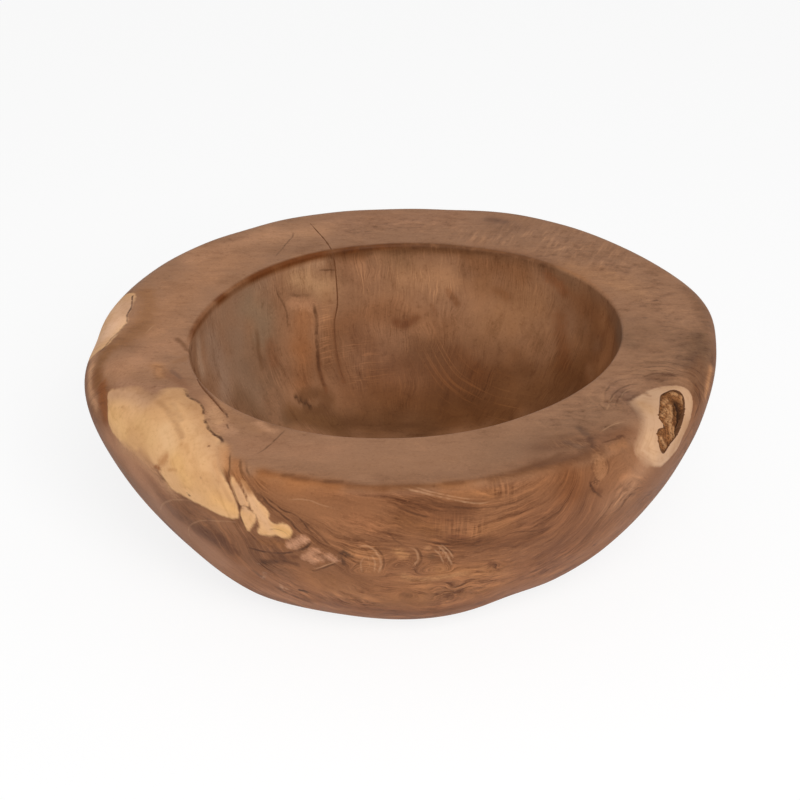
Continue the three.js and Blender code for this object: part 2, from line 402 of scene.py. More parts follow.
# The grid's points are moved where an inlay's outline passes between them
for inlay, outline in (
    (FLANK, flank_outline),
    (STREAK, streak_outline),
    (KNOT, collar_outline),
    (KNOT, core_outline),
):
    distance = inlay_distance(carved(azimuth, place), place, inlay, outline)
    azimuth, place = snap_to_outline(azimuth, place, distance)
points = carved(azimuth, place)
normals = grid_normals(points)
flat_points = points.reshape(-1, 3)
flat_normals = normals.reshape(-1, 3)
bowl_tree = BVHTree.FromPolygons(flat_points.tolist(), quads.tolist())

flank = inlay_distance(points, place, FLANK, flank_outline)
streak = inlay_distance(points, place, STREAK, streak_outline)
collar = inlay_distance(points, place, KNOT, collar_outline)
core = inlay_distance(points, place, KNOT, core_outline)
tongues = np.minimum.reduce([inlay_distance(points, place, FLANK, outline) for outline in tongue_outlines])

lengths = np.linalg.norm(np.diff(points, axis=1), axis=-1)
run = np.concatenate([np.zeros((COLUMNS, 1)), np.cumsum(lengths, 1)], 1)


def run_at(where):
    """Length along the profile from the foot to a place on it, for each column."""
    row = int(np.argmin(np.abs(place[0] - where)))
    return run[:, row : row + 1]


below_edge = run_at(EDGE + 0.5) - run
past_mouth = run - run_at(LIP + 0.5)


def seen_path(pixels, step=2.0):
    """Closely spaced points and normals of the bowl along a smooth line through some pixels."""
    knots = np.array(pixels, float)
    if len(knots) == 1:
        spot, normal = seen(*knots[0])
        return spot[None], normal[None]
    padded = np.concatenate([2 * knots[:1] - knots[1:2], knots, 2 * knots[-1:] - knots[-2:-1]])
    spots = []
    for before, start, end, after in zip(padded, padded[1:], padded[2:], padded[3:]):
        count = max(2, int(np.linalg.norm(end - start) / step))
        spots.extend(between(before, start, end, after, share) for share in np.arange(count) / count)
    spots.append(knots[-1])
    found = [seen(x, y) for x, y in spots]
    return np.array([spot for spot, _ in found]), np.array([normal for _, normal in found])


def near_line(line, reach):
    """Numbers of the grid points in the box round a line, widened by a reach."""
    low, high = line.min(0) - reach, line.max(0) + reach
    return np.flatnonzero(np.all((flat_points > low) & (flat_points < high), axis=1))


def stroke_distance(pixels, reach):
    """Distance from the grid points to a line seen in the photograph, as far as a reach."""
    line, _ = seen_path(pixels)
    near = near_line(line, reach)
    distance = np.full(len(flat_points), float(reach))
    apart = np.linalg.norm(flat_points[near][:, None] - line[None], axis=-1)
    distance[near] = np.minimum(apart.min(1), reach)
    return distance


# Blotches that fray the soft strokes: their size and strength, and how many radii a stroke reaches
BLOTCH_SIZE = 9.0
BLOTCH_STRENGTH = 0.4
STROKE_RADII = 3
blotches = np.array([noise.noise(Vector(spot) / BLOTCH_SIZE) for spot in flat_points])


def soft_stroke(pixels, radius):
    """Mask that is 1 on a line seen in the photograph and fades, unevenly, over a radius."""
    share = stroke_distance(pixels, STROKE_RADII * radius) / radius
    frayed = np.maximum(share + BLOTCH_STRENGTH * blotches, 0)
    mask = np.where(share < STROKE_RADII, np.exp(-(frayed**2)), 0)
    return mask.reshape(COLUMNS, LEVELS)


def beside(pixels, reach):
    """The grid points near a drawn line, how far each lies to its side and along it, and its length."""
    line, line_normals = seen_path(pixels)
    near = near_line(line, reach)
    apart = flat_points[near][:, None] - line[None]
    nearest = np.linalg.norm(apart, axis=-1).argmin(1)
    ahead = np.gradient(line, axis=0)
    ahead /= np.linalg.norm(ahead, axis=1, keepdims=True)
    leftward = np.cross(line_normals, ahead)
    offset = apart[np.arange(len(near)), nearest]
    travelled = np.concatenate([[0], np.cumsum(np.linalg.norm(np.diff(line, axis=0), axis=1))])
    side = (offset * leftward[nearest]).sum(1)
    along = travelled[nearest] + (offset * ahead[nearest]).sum(1)
    return near, side, along, travelled[-1]


# How far a drawn line is worked out to its sides, where it fades there, and how far it runs past its ends
LINE_REACH = 8.0
LINE_FADE = (2.5, 4.5)
LINE_OVERRUN = 0.5


def line_field(lines):
    """Signed distance to the nearest of some drawn lines, in their widths, and how strongly it shows."""
    nearest_side = np.full(len(flat_points), FAR)
    strength = np.zeros(len(flat_points))
    for pixels, taper, darkness, width in lines:
        near, side, along, length = beside(pixels, LINE_REACH)
        begun = smoothstep(along, -LINE_OVERRUN, taper)
        shown = np.minimum(begun, smoothstep(length - along, -LINE_OVERRUN, taper))
        shown = shown * darkness * (1 - smoothstep(np.abs(side), *LINE_FADE))
        side = side / width
        picked = (np.abs(side) < np.abs(nearest_side[near])) & (shown > 0)
        nearest_side[near[picked]] = side[picked]
        strength[near[picked]] = shown[picked]
    return nearest_side.reshape(COLUMNS, LEVELS), strength.reshape(COLUMNS, LEVELS)


def stained(stains):
    """Distance to the nearest of some stains, in its radii, and that stain's colour and strength."""
    reach = np.full(len(flat_points), float(STROKE_RADII))
    tone = np.zeros((len(flat_points), 4))
    for pixels, radius, colour, strength in stains:
        share = stroke_distance(pixels, STROKE_RADII * radius) / radius
        closer = share < reach
        reach[closer] = share[closer]
        tone[closer] = (*srgb(*colour), strength)
    return reach.reshape(COLUMNS, LEVELS), tone.reshape(COLUMNS, LEVELS, 4)


# Figure of the wood, with the painted shade and light among its patches, as fields on the grid

# Azimuths of the front and the back
FRONT, BACK = 270, 90
around_front = RIM_RADIUS * np.radians(turn_between(azimuth, FRONT))

# Growth lines of the wall as the photograph shows them, each with its place in the order of growth.
# They fan out from a point at the left of the front edge and hang like garlands to another at its right.
GROWTH_LINES = [
    (0, [(262, 471), (300, 478), (335, 482), (380, 487), (430, 484), (480, 478), (540, 466), (556, 456)]),
    (3, [(400, 489), (430, 490), (460, 494), (490, 495), (515, 489), (535, 478), (552, 464)]),
    (6, [(300, 481), (360, 489), (395, 492), (425, 497), (450, 502), (480, 504), (505, 501), (530, 491),
         (548, 476)]),
    (10, [(265, 476), (300, 484), (340, 490), (380, 496), (418, 506), (440, 510), (470, 512), (500, 509),
          (525, 500), (546, 487), (558, 470)]),
    (15, [(262, 479), (290, 489), (330, 497), (370, 504), (395, 511), (420, 520), (445, 524), (470, 524),
          (500, 518), (525, 510), (548, 498), (563, 480), (568, 462)]),
    (20, [(260, 483), (285, 497), (320, 506), (350, 514), (380, 524), (410, 532), (440, 538), (470, 536),
          (500, 529), (525, 520), (550, 507), (568, 489), (574, 464)]),
    (26, [(258, 487), (280, 504), (310, 518), (340, 531), (370, 540), (400, 543), (425, 545), (450, 549),
          (480, 547), (505, 540), (535, 532), (558, 519), (573, 500), (580, 480), (582, 462)]),
    (32, [(256, 491), (272, 506), (298, 523), (325, 541), (345, 550), (430, 560), (460, 562), (500, 558),
          (530, 549), (560, 532), (578, 512), (587, 490), (588, 468)]),
    (38, [(252, 490), (264, 505), (285, 519), (310, 538), (332, 553), (352, 566), (380, 578), (410, 578),
          (450, 574), (490, 571), (530, 563), (560, 546), (583, 525), (595, 505)]),
    (44, [(243, 484), (252, 504), (264, 524), (285, 535), (300, 549), (322, 562), (345, 574), (380, 588),
          (420, 592), (460, 585), (500, 580), (530, 571), (556, 558), (582, 540), (603, 520), (628, 495),
          (652, 480)]),
    (47, [(228, 452), (232, 470), (238, 492), (245, 520), (262, 540), (285, 556), (312, 570), (350, 588),
          (390, 600), (430, 603), (480, 592), (520, 579), (556, 565), (590, 544), (617, 518),
          (645, 494)]),
    (51, [(195, 402), (206, 430), (216, 462), (232, 500), (244, 530), (262, 560), (300, 580), (345, 600),
          (400, 610)]),
    (54, [(150, 396), (170, 416), (187, 447), (203, 478), (222, 505)]),
    (57, [(121, 402), (136, 431), (161, 466), (190, 493), (225, 520), (242, 548), (270, 577),
          (310, 597)]),
    (62, [(100, 405), (118, 445), (146, 472), (169, 497), (196, 517), (222, 543), (250, 574)]),
    (68, [(95, 412), (118, 455), (144, 489), (173, 519), (205, 548), (238, 572)]),
]

# Places on the wall where the growth lines close round something: pixel, reach, and lift of the lines
LOOPS = [((600, 468), 5.0, -5), ((405, 594), 5.0, 3), ((456, 586), 5.0, -3), ((494, 564), 3.0, 3)]

# Places where they stand up in arches: pixel in the arch, and the arch's radius
ARCHES = [((368, 574), 11.5), ((402, 568), 9.5), ((434, 572), 12.0)]


def thin_plate(knots, values, places, smoothing=0.002):
    """Smooth sheet through values given at knots of a plane, read off at other places."""
    def bend(gap):
        return gap**2 * np.log(gap + 1e-9)

    count = len(knots)
    plain = np.column_stack([np.ones(count), knots])
    system = np.zeros((count + 3, count + 3))
    bends = bend(np.linalg.norm(knots[:, None] - knots[None], axis=-1))
    system[:count, :count] = bends + smoothing * np.eye(count)
    system[:count, count:] = plain
    system[count:, :count] = plain.T
    weights = np.linalg.solve(system, np.concatenate([values, np.zeros(3)]))
    sheet = weights[count] + places @ weights[count + 1 :]
    for knot, weight in zip(knots, weights[:count]):
        sheet += weight * bend(np.linalg.norm(places - knot, axis=1))
    return sheet


# The traced lines: azimuth of their middle, where they fade to its sides, how far they go past the edge, and
# the length by which the sheet drawn through them is scaled
TRACED_MIDDLE = 266
TRACED_FADE = (66, 88)
TRACED_PAST_EDGE = 25
TRACED_SCALE = 50.0

# Order of growth where no line is traced: its rise with depth, and its waves: waves in a turn, swell, shift
PLAIN_RISE = 0.7
PLAIN_WAVES = [(2, 9, 0), (5, 6, 40)]

# Growth lines inside an arch, and round the knot: how closely they lie, how far they reach, and their order
ARCH_RISE = 1.1
ARCH_FULL = 0.6
ARCH_FOOT = (-2, 3)
COLLAR_RISE = 1.3
COLLAR_REACH = 5.0
COLLAR_ORDER = 30


def traced_order():
    """Order of growth on the wall: as traced at the front, and plain waves elsewhere."""
    knots, values = [], []
    for order, pixels in GROWTH_LINES:
        for x, y in pixels:
            knots.append((seen_value(x, y, around_front), seen_value(x, y, below_edge)))
            values.append(order)
    front = 1 - smoothstep(np.abs(turn_between(azimuth, TRACED_MIDDLE)), *TRACED_FADE)
    near = (front > 0) & (below_edge > -TRACED_PAST_EDGE)
    places = np.stack([around_front[near], below_edge[near]], -1) / TRACED_SCALE
    plain = below_edge * PLAIN_RISE
    for waves, swell, shift in PLAIN_WAVES:
        plain = plain + swell * np.sin(np.radians(waves * azimuth + shift))
    traced = np.array(plain)
    traced[near] = thin_plate(np.array(knots) / TRACED_SCALE, np.array(values, float), places)
    return traced * front + plain * (1 - front)


def wall_figure():
    """Order of growth for every grid point, with the loops, the arches and the lines round the knot."""
    order = traced_order()
    for pixel, radius, lift in LOOPS:
        spot, _ = seen(*pixel)
        order = order + lift * np.exp(-((np.linalg.norm(points - spot, axis=-1) / radius) ** 2))
    for pixel, radius in ARCHES:
        crown = seen_value(*pixel, order)
        across = around_front - seen_value(*pixel, around_front)
        below = below_edge - seen_value(*pixel, below_edge)
        arch = np.hypot(across, np.minimum(below, 0))
        within = (1 - smoothstep(arch, ARCH_FULL * radius, radius)) * (1 - smoothstep(below, *ARCH_FOOT))
        order = order * (1 - within) + (crown + ARCH_RISE * (arch - radius)) * within
    wrap = np.exp(-((np.maximum(collar, 0) / COLLAR_REACH) ** 2))
    return order * (1 - wrap) + (collar * COLLAR_RISE + COLLAR_ORDER) * wrap


ring = wall_figure()
HOLLOW_GRAIN_RADIUS = 90.0
hollow_around = HOLLOW_GRAIN_RADIUS * np.radians(turn_between(azimuth, BACK))

# Fine dark lines, in groups whose lines keep apart: pixels, fading length of the ends, darkness, width
HAIRLINES = {
    "hair_one": [
        ([(293, 231), (293, 236), (287, 243), (274, 258)], 6, 0.5, 0.9),
        ([(286, 429), (275, 440), (265, 449), (252, 456)], 5, 0.6, 0.9),
        ([(204, 419), (208, 428), (214, 434), (221, 438), (223, 443)], 2, 1.0, 1.7),
        ([(256, 489), (263, 497), (270, 505), (280, 513), (290, 521), (298, 530), (307, 538)], 6, 0.8, 1.3),
        ([(305, 567), (315, 571), (325, 567), (338, 563)], 3, 0.7, 1.0),
        ([(589, 481), (594, 491), (602, 498)], 2, 1.0, 1.3),
        ([(312, 301), (316, 315), (317, 340), (318, 356), (319, 368), (322, 381), (327, 389)], 3, 0.7, 2.0),
        ([(128, 322), (119, 332), (111, 339), (105, 347), (96, 355)], 4, 0.5, 1.2),
        ([(496, 589), (533, 572), (554, 561)], 8, 0.5, 1.0),
        ([(611, 404), (612, 396), (620, 389), (630, 385), (640, 384)], 4, 0.6, 1.2),
        ([(690, 380), (697, 387), (700, 396), (698, 408), (693, 420)], 4, 0.7, 1.3),
        # painted shadow: the dark line just outside the pale arc of the first hook
        ([(374, 546), (381, 553), (384, 562), (382, 571)], 3, 0.6, 1.0),
        ([(414, 546), (421, 554), (420, 563), (412, 569)], 3, 0.6, 1.1),
        ([(434, 541), (446, 547), (456, 556)], 3, 0.5, 1.0),
        ([(241, 459), (241, 469), (245, 478)], 3, 0.55, 1.5),
        ([(640, 379), (652, 374), (666, 374), (682, 378)], 5, 0.6, 1.2),
        ([(594, 459), (592, 468), (595, 478), (601, 482)], 2, 0.5, 1.0),
    ],
    "hair_two": [
        ([(262, 493), (271, 501), (283, 510), (293, 514), (302, 521), (309, 530), (314, 538)], 6, 0.8, 1.1),
        ([(246, 547), (258, 550), (272, 553), (285, 553), (297, 551), (306, 547), (312, 541)], 4, 0.9, 1.5),
        ([(230, 452), (230, 466), (229, 476), (234, 491), (239, 505), (240, 515), (243, 523), (246, 530)],
         4, 0.6, 1.0),
        ([(274, 284), (278, 295), (286, 310), (288, 328)], 4, 0.45, 1.2),
        ([(133, 294), (131, 308), (127, 315), (127, 323)], 2, 0.9, 0.9),
        ([(318, 270), (338, 270)], 3, 0.6, 1.0),
        ([(560, 560), (580, 543), (598, 527)], 6, 0.4, 1.0),
        ([(604, 398), (608, 388), (618, 381), (632, 378)], 5, 0.5, 1.0),
        ([(616, 409), (618, 399), (626, 393), (635, 392)], 4, 0.5, 1.0),
        ([(630, 371), (650, 367), (668, 367), (688, 374)], 6, 0.4, 1.0),
        ([(697, 380), (703, 388), (704, 398)], 3, 0.5, 1.0),
        ([(606, 457), (609, 466), (607, 476)], 2, 0.5, 1.0),
        ([(246, 461), (247, 470), (251, 478)], 3, 0.5, 1.1),
        ([(600, 443), (612, 440), (622, 437)], 3, 0.6, 1.2),
        ([(386, 530), (396, 541), (407, 547)], 4, 0.5, 1.0),
        ([(184, 389), (189, 397), (197, 401), (203, 408), (204, 415)], 2, 0.8, 1.4),
        ([(414, 590), (418, 598)], 1, 0.2, 1.3),
        ([(326, 253.5), (360, 248), (400, 245.5), (431, 244.5), (460, 247), (490, 250.5)], 12, 0.55, 3.0),
    ],
    "hair_three": [
        ([(250, 486), (258, 494), (264, 501), (270, 508), (276, 515)], 4, 0.5, 1.0),
        ([(248, 482), (255, 493), (262, 503)], 3, 0.35, 0.8),
        ([(300, 518), (312, 528), (322, 538), (334, 548)], 5, 0.7, 1.2),
        ([(268, 530), (276, 529), (284, 532), (289, 536)], 3, 0.4, 0.8),
        ([(390, 503), (405, 510), (420, 515), (440, 519)], 8, 0.7, 1.1),
        ([(415, 499), (440, 504), (470, 508), (500, 506), (520, 500), (545, 487)], 10, 0.5, 1.0),
        ([(455, 545), (480, 545), (500, 538), (515, 532), (540, 530), (560, 522)], 10, 0.5, 1.0),
        ([(239, 507), (244, 506), (250, 508)], 1, 0.5, 0.9),
        ([(226, 413), (228, 418)], 1, 0.7, 1.0),
        ([(227, 424), (229, 429)], 1, 0.6, 1.0),
        ([(644, 393), (649, 393)], 1, 0.6, 0.9),
        ([(640, 362), (668, 362), (690, 369)], 6, 0.35, 1.1),
        ([(486, 250), (514, 254.5), (530, 258.5), (547, 264), (562, 272)], 8, 0.45, 2.4),
        ([(288, 293), (300, 296), (312, 295)], 4, 0.35, 1.8),
    ],
}

# Fine pale lines: sanding marks and pale growth lines
PALE_LINES = {
    "pale_one": [
        ([(400, 487), (420, 492), (440, 497), (460, 501), (480, 503.5), (497, 500)], 8, 0.6, 1.2),
        ([(286, 500), (300, 499), (312, 501), (322, 505), (340, 510)], 6, 0.3, 1.0),
        ([(160, 510), (163, 504), (170, 500.5), (180, 499.5), (192, 501)], 3, 0.4, 1.2),
        ([(190, 537), (188.5, 529), (193, 523.5), (203, 520.5), (220, 521), (237, 522)], 3, 0.4, 1.1),
        ([(357, 548), (365, 545.5), (373, 549), (379, 557), (381, 565), (379, 573)], 3, 0.6, 1.4),
        ([(409, 547), (416, 551), (418, 559), (413, 567)], 3, 0.55, 1.3),
        ([(437, 545), (444, 551), (450, 560), (452, 566)], 3, 0.6, 1.3),
        ([(310, 566), (316, 568.5), (326, 565), (337, 562)], 3, 0.7, 0.9),
        ([(620, 398), (626, 391), (637, 388)], 4, 0.5, 1.1),
        ([(157, 322), (145, 334)], 4, 0.4, 1.0),
        ([(600, 432), (612, 425), (626, 421)], 4, 0.5, 1.2),
    ],
    "pale_two": [
        ([(412, 486), (432, 492), (455, 497), (478, 500)], 6, 0.4, 1.0),
        ([(362, 573), (361, 563), (365, 556)], 3, 0.6, 1.0),
        ([(374, 572), (375, 562), (371, 554)], 3, 0.6, 1.0),
        ([(441, 544), (449, 551), (454, 559)], 3, 0.6, 1.0),
        ([(606, 412), (610, 402), (615, 394)], 4, 0.4, 1.0),
        ([(640, 371), (660, 369.5), (680, 375)], 5, 0.4, 1.0),
        ([(434, 549), (440, 555), (444, 564)], 2, 0.5, 1.0),
    ],
}
line_fields = {}
for group, lines in (HAIRLINES | PALE_LINES).items():
    line_fields[group + "_side"], line_fields[group + "_strength"] = line_field(lines)

# Ground colours of the heartwood by zone, and soft patches on them: pixels, radius, colour, strength. Most
# patches are tones of the wood; those marked below are painted shade and painted light
RIM_TONE = (152, 113, 86)
WALL_TONE = (136, 91, 61)
HOLLOW_TONE = (153, 106, 73)
HOLLOW_PATCHES = [
    ([(212, 340), (225, 385)], 11, (166, 128, 100), 0.85),
    ([(198, 345), (202, 370)], 5, (190, 148, 116), 0.8),
    ([(236, 330), (240, 375), (255, 400)], 10, (150, 113, 85), 0.85),
    ([(240, 400), (270, 425)], 8, (124, 86, 58), 0.7),
    ([(225, 310), (262, 285)], 8, (158, 118, 88), 0.7),
    ([(248, 302), (262, 322), (263, 338)], 8, (142, 112, 84), 0.75),
    ([(302, 318), (302, 345)], 8, (164, 106, 66), 0.8),
    ([(302, 352), (303, 384)], 7, (148, 92, 54), 0.8),
    ([(297, 279), (326, 289)], 7, (194, 144, 100), 0.8),
    ([(327, 295), (327, 365)], 3.5, (160, 108, 70), 0.5),
    ([(405, 275), (440, 277)], 9, (194, 138, 94), 0.6),
    ([(345, 265), (372, 275)], 6, (166, 114, 78), 0.5),
    ([(355, 330), (375, 365), (360, 390)], 12, (124, 78, 48), 0.85),
    ([(380, 310), (440, 330)], 10, (162, 107, 68), 0.6),
    ([(505, 318), (532, 310), (490, 328)], 13, (166, 114, 74), 0.7),
    ([(480, 262), (520, 270)], 8, (142, 90, 54), 0.6),
    ([(575, 285), (598, 320), (610, 350), (590, 380)], 11, (142, 88, 51), 0.8),
    # painted shade: this patch and the next four darken the low part of the hollow
    ([(390, 400), (470, 402), (540, 392), (580, 372)], 17, (108, 62, 30), 0.8),
    ([(440, 415), (500, 415)], 10, (104, 60, 28), 0.7),
    ([(340, 420), (420, 425)], 12, (98, 60, 33), 0.8),
    ([(436, 378), (462, 390)], 7, (100, 54, 24), 0.6),
    ([(405, 370), (450, 374), (490, 378)], 11, (114, 68, 38), 0.8),
    ([(380, 312), (398, 322)], 6, (132, 84, 52), 0.6),
    ([(318, 345), (324, 375)], 4, (134, 87, 55), 0.6),
    ([(343, 256), (362, 254)], 3.5, (114, 68, 38), 0.7),
    ([(390, 250), (440, 250), (470, 254)], 3, (126, 80, 48), 0.6),
    ([(480, 286), (510, 293)], 7, (146, 96, 60), 0.6),
    ([(335, 335), (342, 375), (352, 398)], 7, (124, 78, 47), 0.75),
    # painted shade: darkens the bottom of the hollow at the left
    ([(284, 421), (305, 418), (330, 424)], 5, (104, 68, 40), 0.7),
    ([(604, 320), (611, 345), (600, 366)], 7, (178, 118, 74), 0.8),
    ([(588, 368), (592, 377)], 2.5, (168, 114, 76), 0.6),
    ([(300, 262), (322, 262)], 4, (186, 138, 100), 0.6),
    ([(246, 362), (256, 374)], 9, (112, 84, 62), 0.4),
    ([(318, 375), (332, 392)], 8, (116, 74, 46), 0.5),
    ([(474, 345), (500, 358)], 10, (112, 70, 42), 0.4),
    ([(580, 345), (588, 372)], 8, (142, 94, 60), 0.35),
    ([(482, 252), (515, 257), (545, 266), (570, 280)], 4, (114, 73, 45), 0.6),
    ([(388, 255), (405, 262)], 6, (136, 94, 62), 0.5),
    # painted shade: this patch and the next darken the low part of the hollow
    ([(430, 362), (470, 380), (520, 372)], 13, (98, 57, 29), 0.5),
    ([(440, 398), (500, 402)], 9, (92, 54, 27), 0.4),
    ([(412, 345), (440, 352)], 8, (116, 74, 45), 0.35),
    ([(272, 352), (290, 372)], 7, (126, 84, 56), 0.4),
    ([(212, 402), (235, 418), (255, 428)], 6, (158, 116, 84), 0.7),
    ([(326, 255), (370, 251.5), (410, 249.5), (450, 250), (490, 252.5)], 2.2, (98, 60, 34), 0.6),
    # painted shade: darkens the bottom of the hollow at the right
    ([(516, 394), (546, 392)], 9, (130, 84, 50), 0.5),
    ([(269, 378), (273, 398), (279, 418)], 6, (128, 91, 64), 0.7),
]
RIM_PATCHES = [
    # painted light: this patch and the next lighten the rim at its front left
    ([(150, 330), (170, 300), (230, 260)], 15, (174, 128, 95), 0.85),
    ([(112, 370), (150, 352), (175, 345)], 9, (178, 132, 101), 0.7),
    ([(120, 384), (160, 388)], 4, (172, 130, 104), 0.6),
    ([(255, 445), (330, 450)], 10, (162, 119, 91), 0.6),
    # painted shade: this patch and the next darken the rim towards the right
    ([(500, 456), (560, 432), (596, 412)], 15, (134, 100, 76), 0.75),
    ([(640, 330), (680, 340), (660, 370)], 14, (134, 99, 74), 0.7),
    ([(699, 338), (700, 358)], 8, (106, 76, 54), 0.85),
    ([(618, 332), (632, 345)], 5, (124, 94, 72), 0.5),
    ([(576, 268), (628, 290)], 9, (166, 123, 90), 0.8),
    ([(340, 222), (450, 218)], 14, (158, 116, 89), 0.7),
    ([(622, 392), (634, 402), (640, 414)], 5, (112, 80, 62), 0.6),
    ([(648, 378), (672, 376)], 3, (116, 80, 56), 0.5),
    ([(212, 408), (222, 428)], 5, (196, 150, 114), 0.8),
    ([(204, 399), (216, 412)], 3.5, (192, 146, 110), 0.7),
    ([(258, 423), (266, 428), (274, 431)], 2.5, (194, 148, 116), 0.7),
    ([(270, 236), (318, 230)], 10, (186, 140, 106), 0.75),
    ([(195, 256), (235, 243), (270, 234)], 8, (186, 139, 106), 0.6),
    ([(136, 364), (152, 368)], 7, (186, 140, 108), 0.45),
    ([(156, 366), (163, 375)], 3, (182, 130, 88), 0.7),
    ([(168, 372), (179, 380)], 2.6, (142, 101, 74), 0.7),
    ([(545, 447), (580, 440), (618, 436)], 8, (112, 77, 54), 0.75),
    ([(495, 222), (520, 228)], 7, (130, 94, 70), 0.6),
    ([(690, 290), (703, 308), (708, 328)], 4, (118, 84, 61), 0.6),
    ([(180, 382), (196, 396), (206, 412)], 4, (148, 106, 79), 0.6),
    ([(280, 466), (345, 474)], 5, (142, 104, 78), 0.6),
    ([(380, 478), (470, 474), (530, 462)], 5, (136, 99, 74), 0.6),
    ([(596, 444), (612, 438), (628, 431)], 4, (126, 84, 58), 0.7),
    ([(692, 370), (697, 390)], 5, (112, 77, 53), 0.8),
]
WALL_PATCHES = [
    ([(236, 462), (238, 476)], 3.5, (166, 112, 72), 0.8),
    ([(223, 448), (226, 466)], 2.6, (196, 140, 92), 0.8),
    ([(262, 474), (300, 482), (335, 486)], 4, (164, 102, 54), 0.6),
    ([(262, 472), (300, 478), (345, 484), (385, 488)], 2.2, (120, 74, 42), 0.5),
    ([(395, 487), (450, 484), (500, 475), (545, 463)], 1.5, (114, 72, 44), 0.45),
    ([(272, 492), (300, 500), (330, 520)], 9, (156, 106, 71), 0.45),
    ([(355, 520), (372, 524)], 6, (168, 114, 78), 0.6),
    ([(412, 502), (440, 507), (470, 508)], 4.5, (98, 60, 37), 0.8),
    ([(385, 487), (450, 486)], 2.2, (108, 70, 43), 0.6),
    ([(402, 509), (430, 517), (450, 519)], 4, (106, 66, 42), 0.7),
    ([(342, 592), (362, 597)], 5, (160, 113, 80), 0.7),
    ([(406, 577), (422, 582)], 4.5, (168, 118, 80), 0.7),
    ([(222, 446), (224, 462)], 2.6, (184, 132, 92), 0.7),
    ([(400, 518), (432, 530)], 6, (122, 78, 46), 0.6),
    ([(540, 535), (500, 543), (450, 543)], 5, (104, 64, 39), 0.6),
    ([(445, 488), (490, 494)], 4, (164, 111, 69), 0.5),
    ([(480, 530), (505, 524)], 4, (164, 112, 72), 0.5),
    ([(548, 474), (540, 485)], 4, (140, 92, 60), 0.5),
    # painted shade: darkens the wall towards the right
    ([(540, 520), (590, 515), (560, 545)], 14, (126, 82, 55), 0.7),
    ([(566, 470), (574, 495)], 7, (112, 66, 36), 0.7),
    ([(546, 463), (575, 457), (600, 452)], 5, (106, 70, 47), 0.8),
    ([(492, 480), (530, 470), (552, 462)], 3, (112, 74, 48), 0.7),
    ([(699, 360), (701, 380)], 4.5, (112, 77, 53), 0.8),
    ([(640, 470), (620, 500)], 10, (170, 125, 94), 0.8),
    ([(690, 430), (660, 480), (610, 535)], 6, (144, 100, 72), 0.7),
    ([(711, 368), (706, 394)], 2, (196, 142, 98), 0.8),
    ([(91, 372), (90, 388), (96, 406)], 3.2, (214, 162, 124), 0.8),
    ([(353, 553), (372, 556), (372, 570)], 5, (170, 118, 78), 0.6),
    ([(440, 572), (500, 572)], 5, (172, 120, 78), 0.6),
    ([(262, 542), (285, 545)], 3.5, (150, 98, 58), 0.6),
    ([(250, 560), (285, 575)], 6, (118, 82, 60), 0.6),
    ([(280, 582), (330, 598)], 8, (146, 102, 74), 0.6),
    ([(435, 597), (455, 590)], 5, (136, 98, 70), 0.5),
    ([(330, 585), (400, 598), (480, 588)], 12, (140, 96, 62), 0.5),
    ([(160, 505), (190, 535), (220, 562)], 15, (158, 115, 89), 0.85),
    ([(112, 440), (140, 476)], 12, (188, 136, 103), 0.85),
    ([(140, 462), (168, 494)], 6, (160, 110, 82), 0.5),
    ([(122, 470), (132, 482)], 4, (136, 106, 88), 0.5),
    ([(340, 606), (420, 613), (480, 603)], 4, (104, 64, 40), 0.6),
    ([(262, 590), (300, 602), (340, 609)], 5, (170, 123, 92), 0.6),
    ([(195, 515), (225, 524), (240, 530)], 5, (162, 114, 82), 0.55),
    ([(350, 586), (356, 592)], 4, (152, 106, 74), 0.5),
    ([(380, 603), (420, 602)], 5, (130, 88, 56), 0.5),
    ([(122, 445), (138, 457), (152, 469), (162, 481), (172, 492)], 5.5, (196, 148, 112), 0.85),
    ([(95, 350), (92.5, 360), (91.5, 372)], 3.2, (214, 162, 124), 0.75),
    ([(322, 492), (360, 497), (390, 500)], 6, (126, 82, 54), 0.35),
    ([(400, 494), (470, 497), (530, 486), (556, 472)], 7, (122, 80, 52), 0.3),
    ([(604, 446), (630, 456)], 7, (132, 92, 66), 0.3),
]

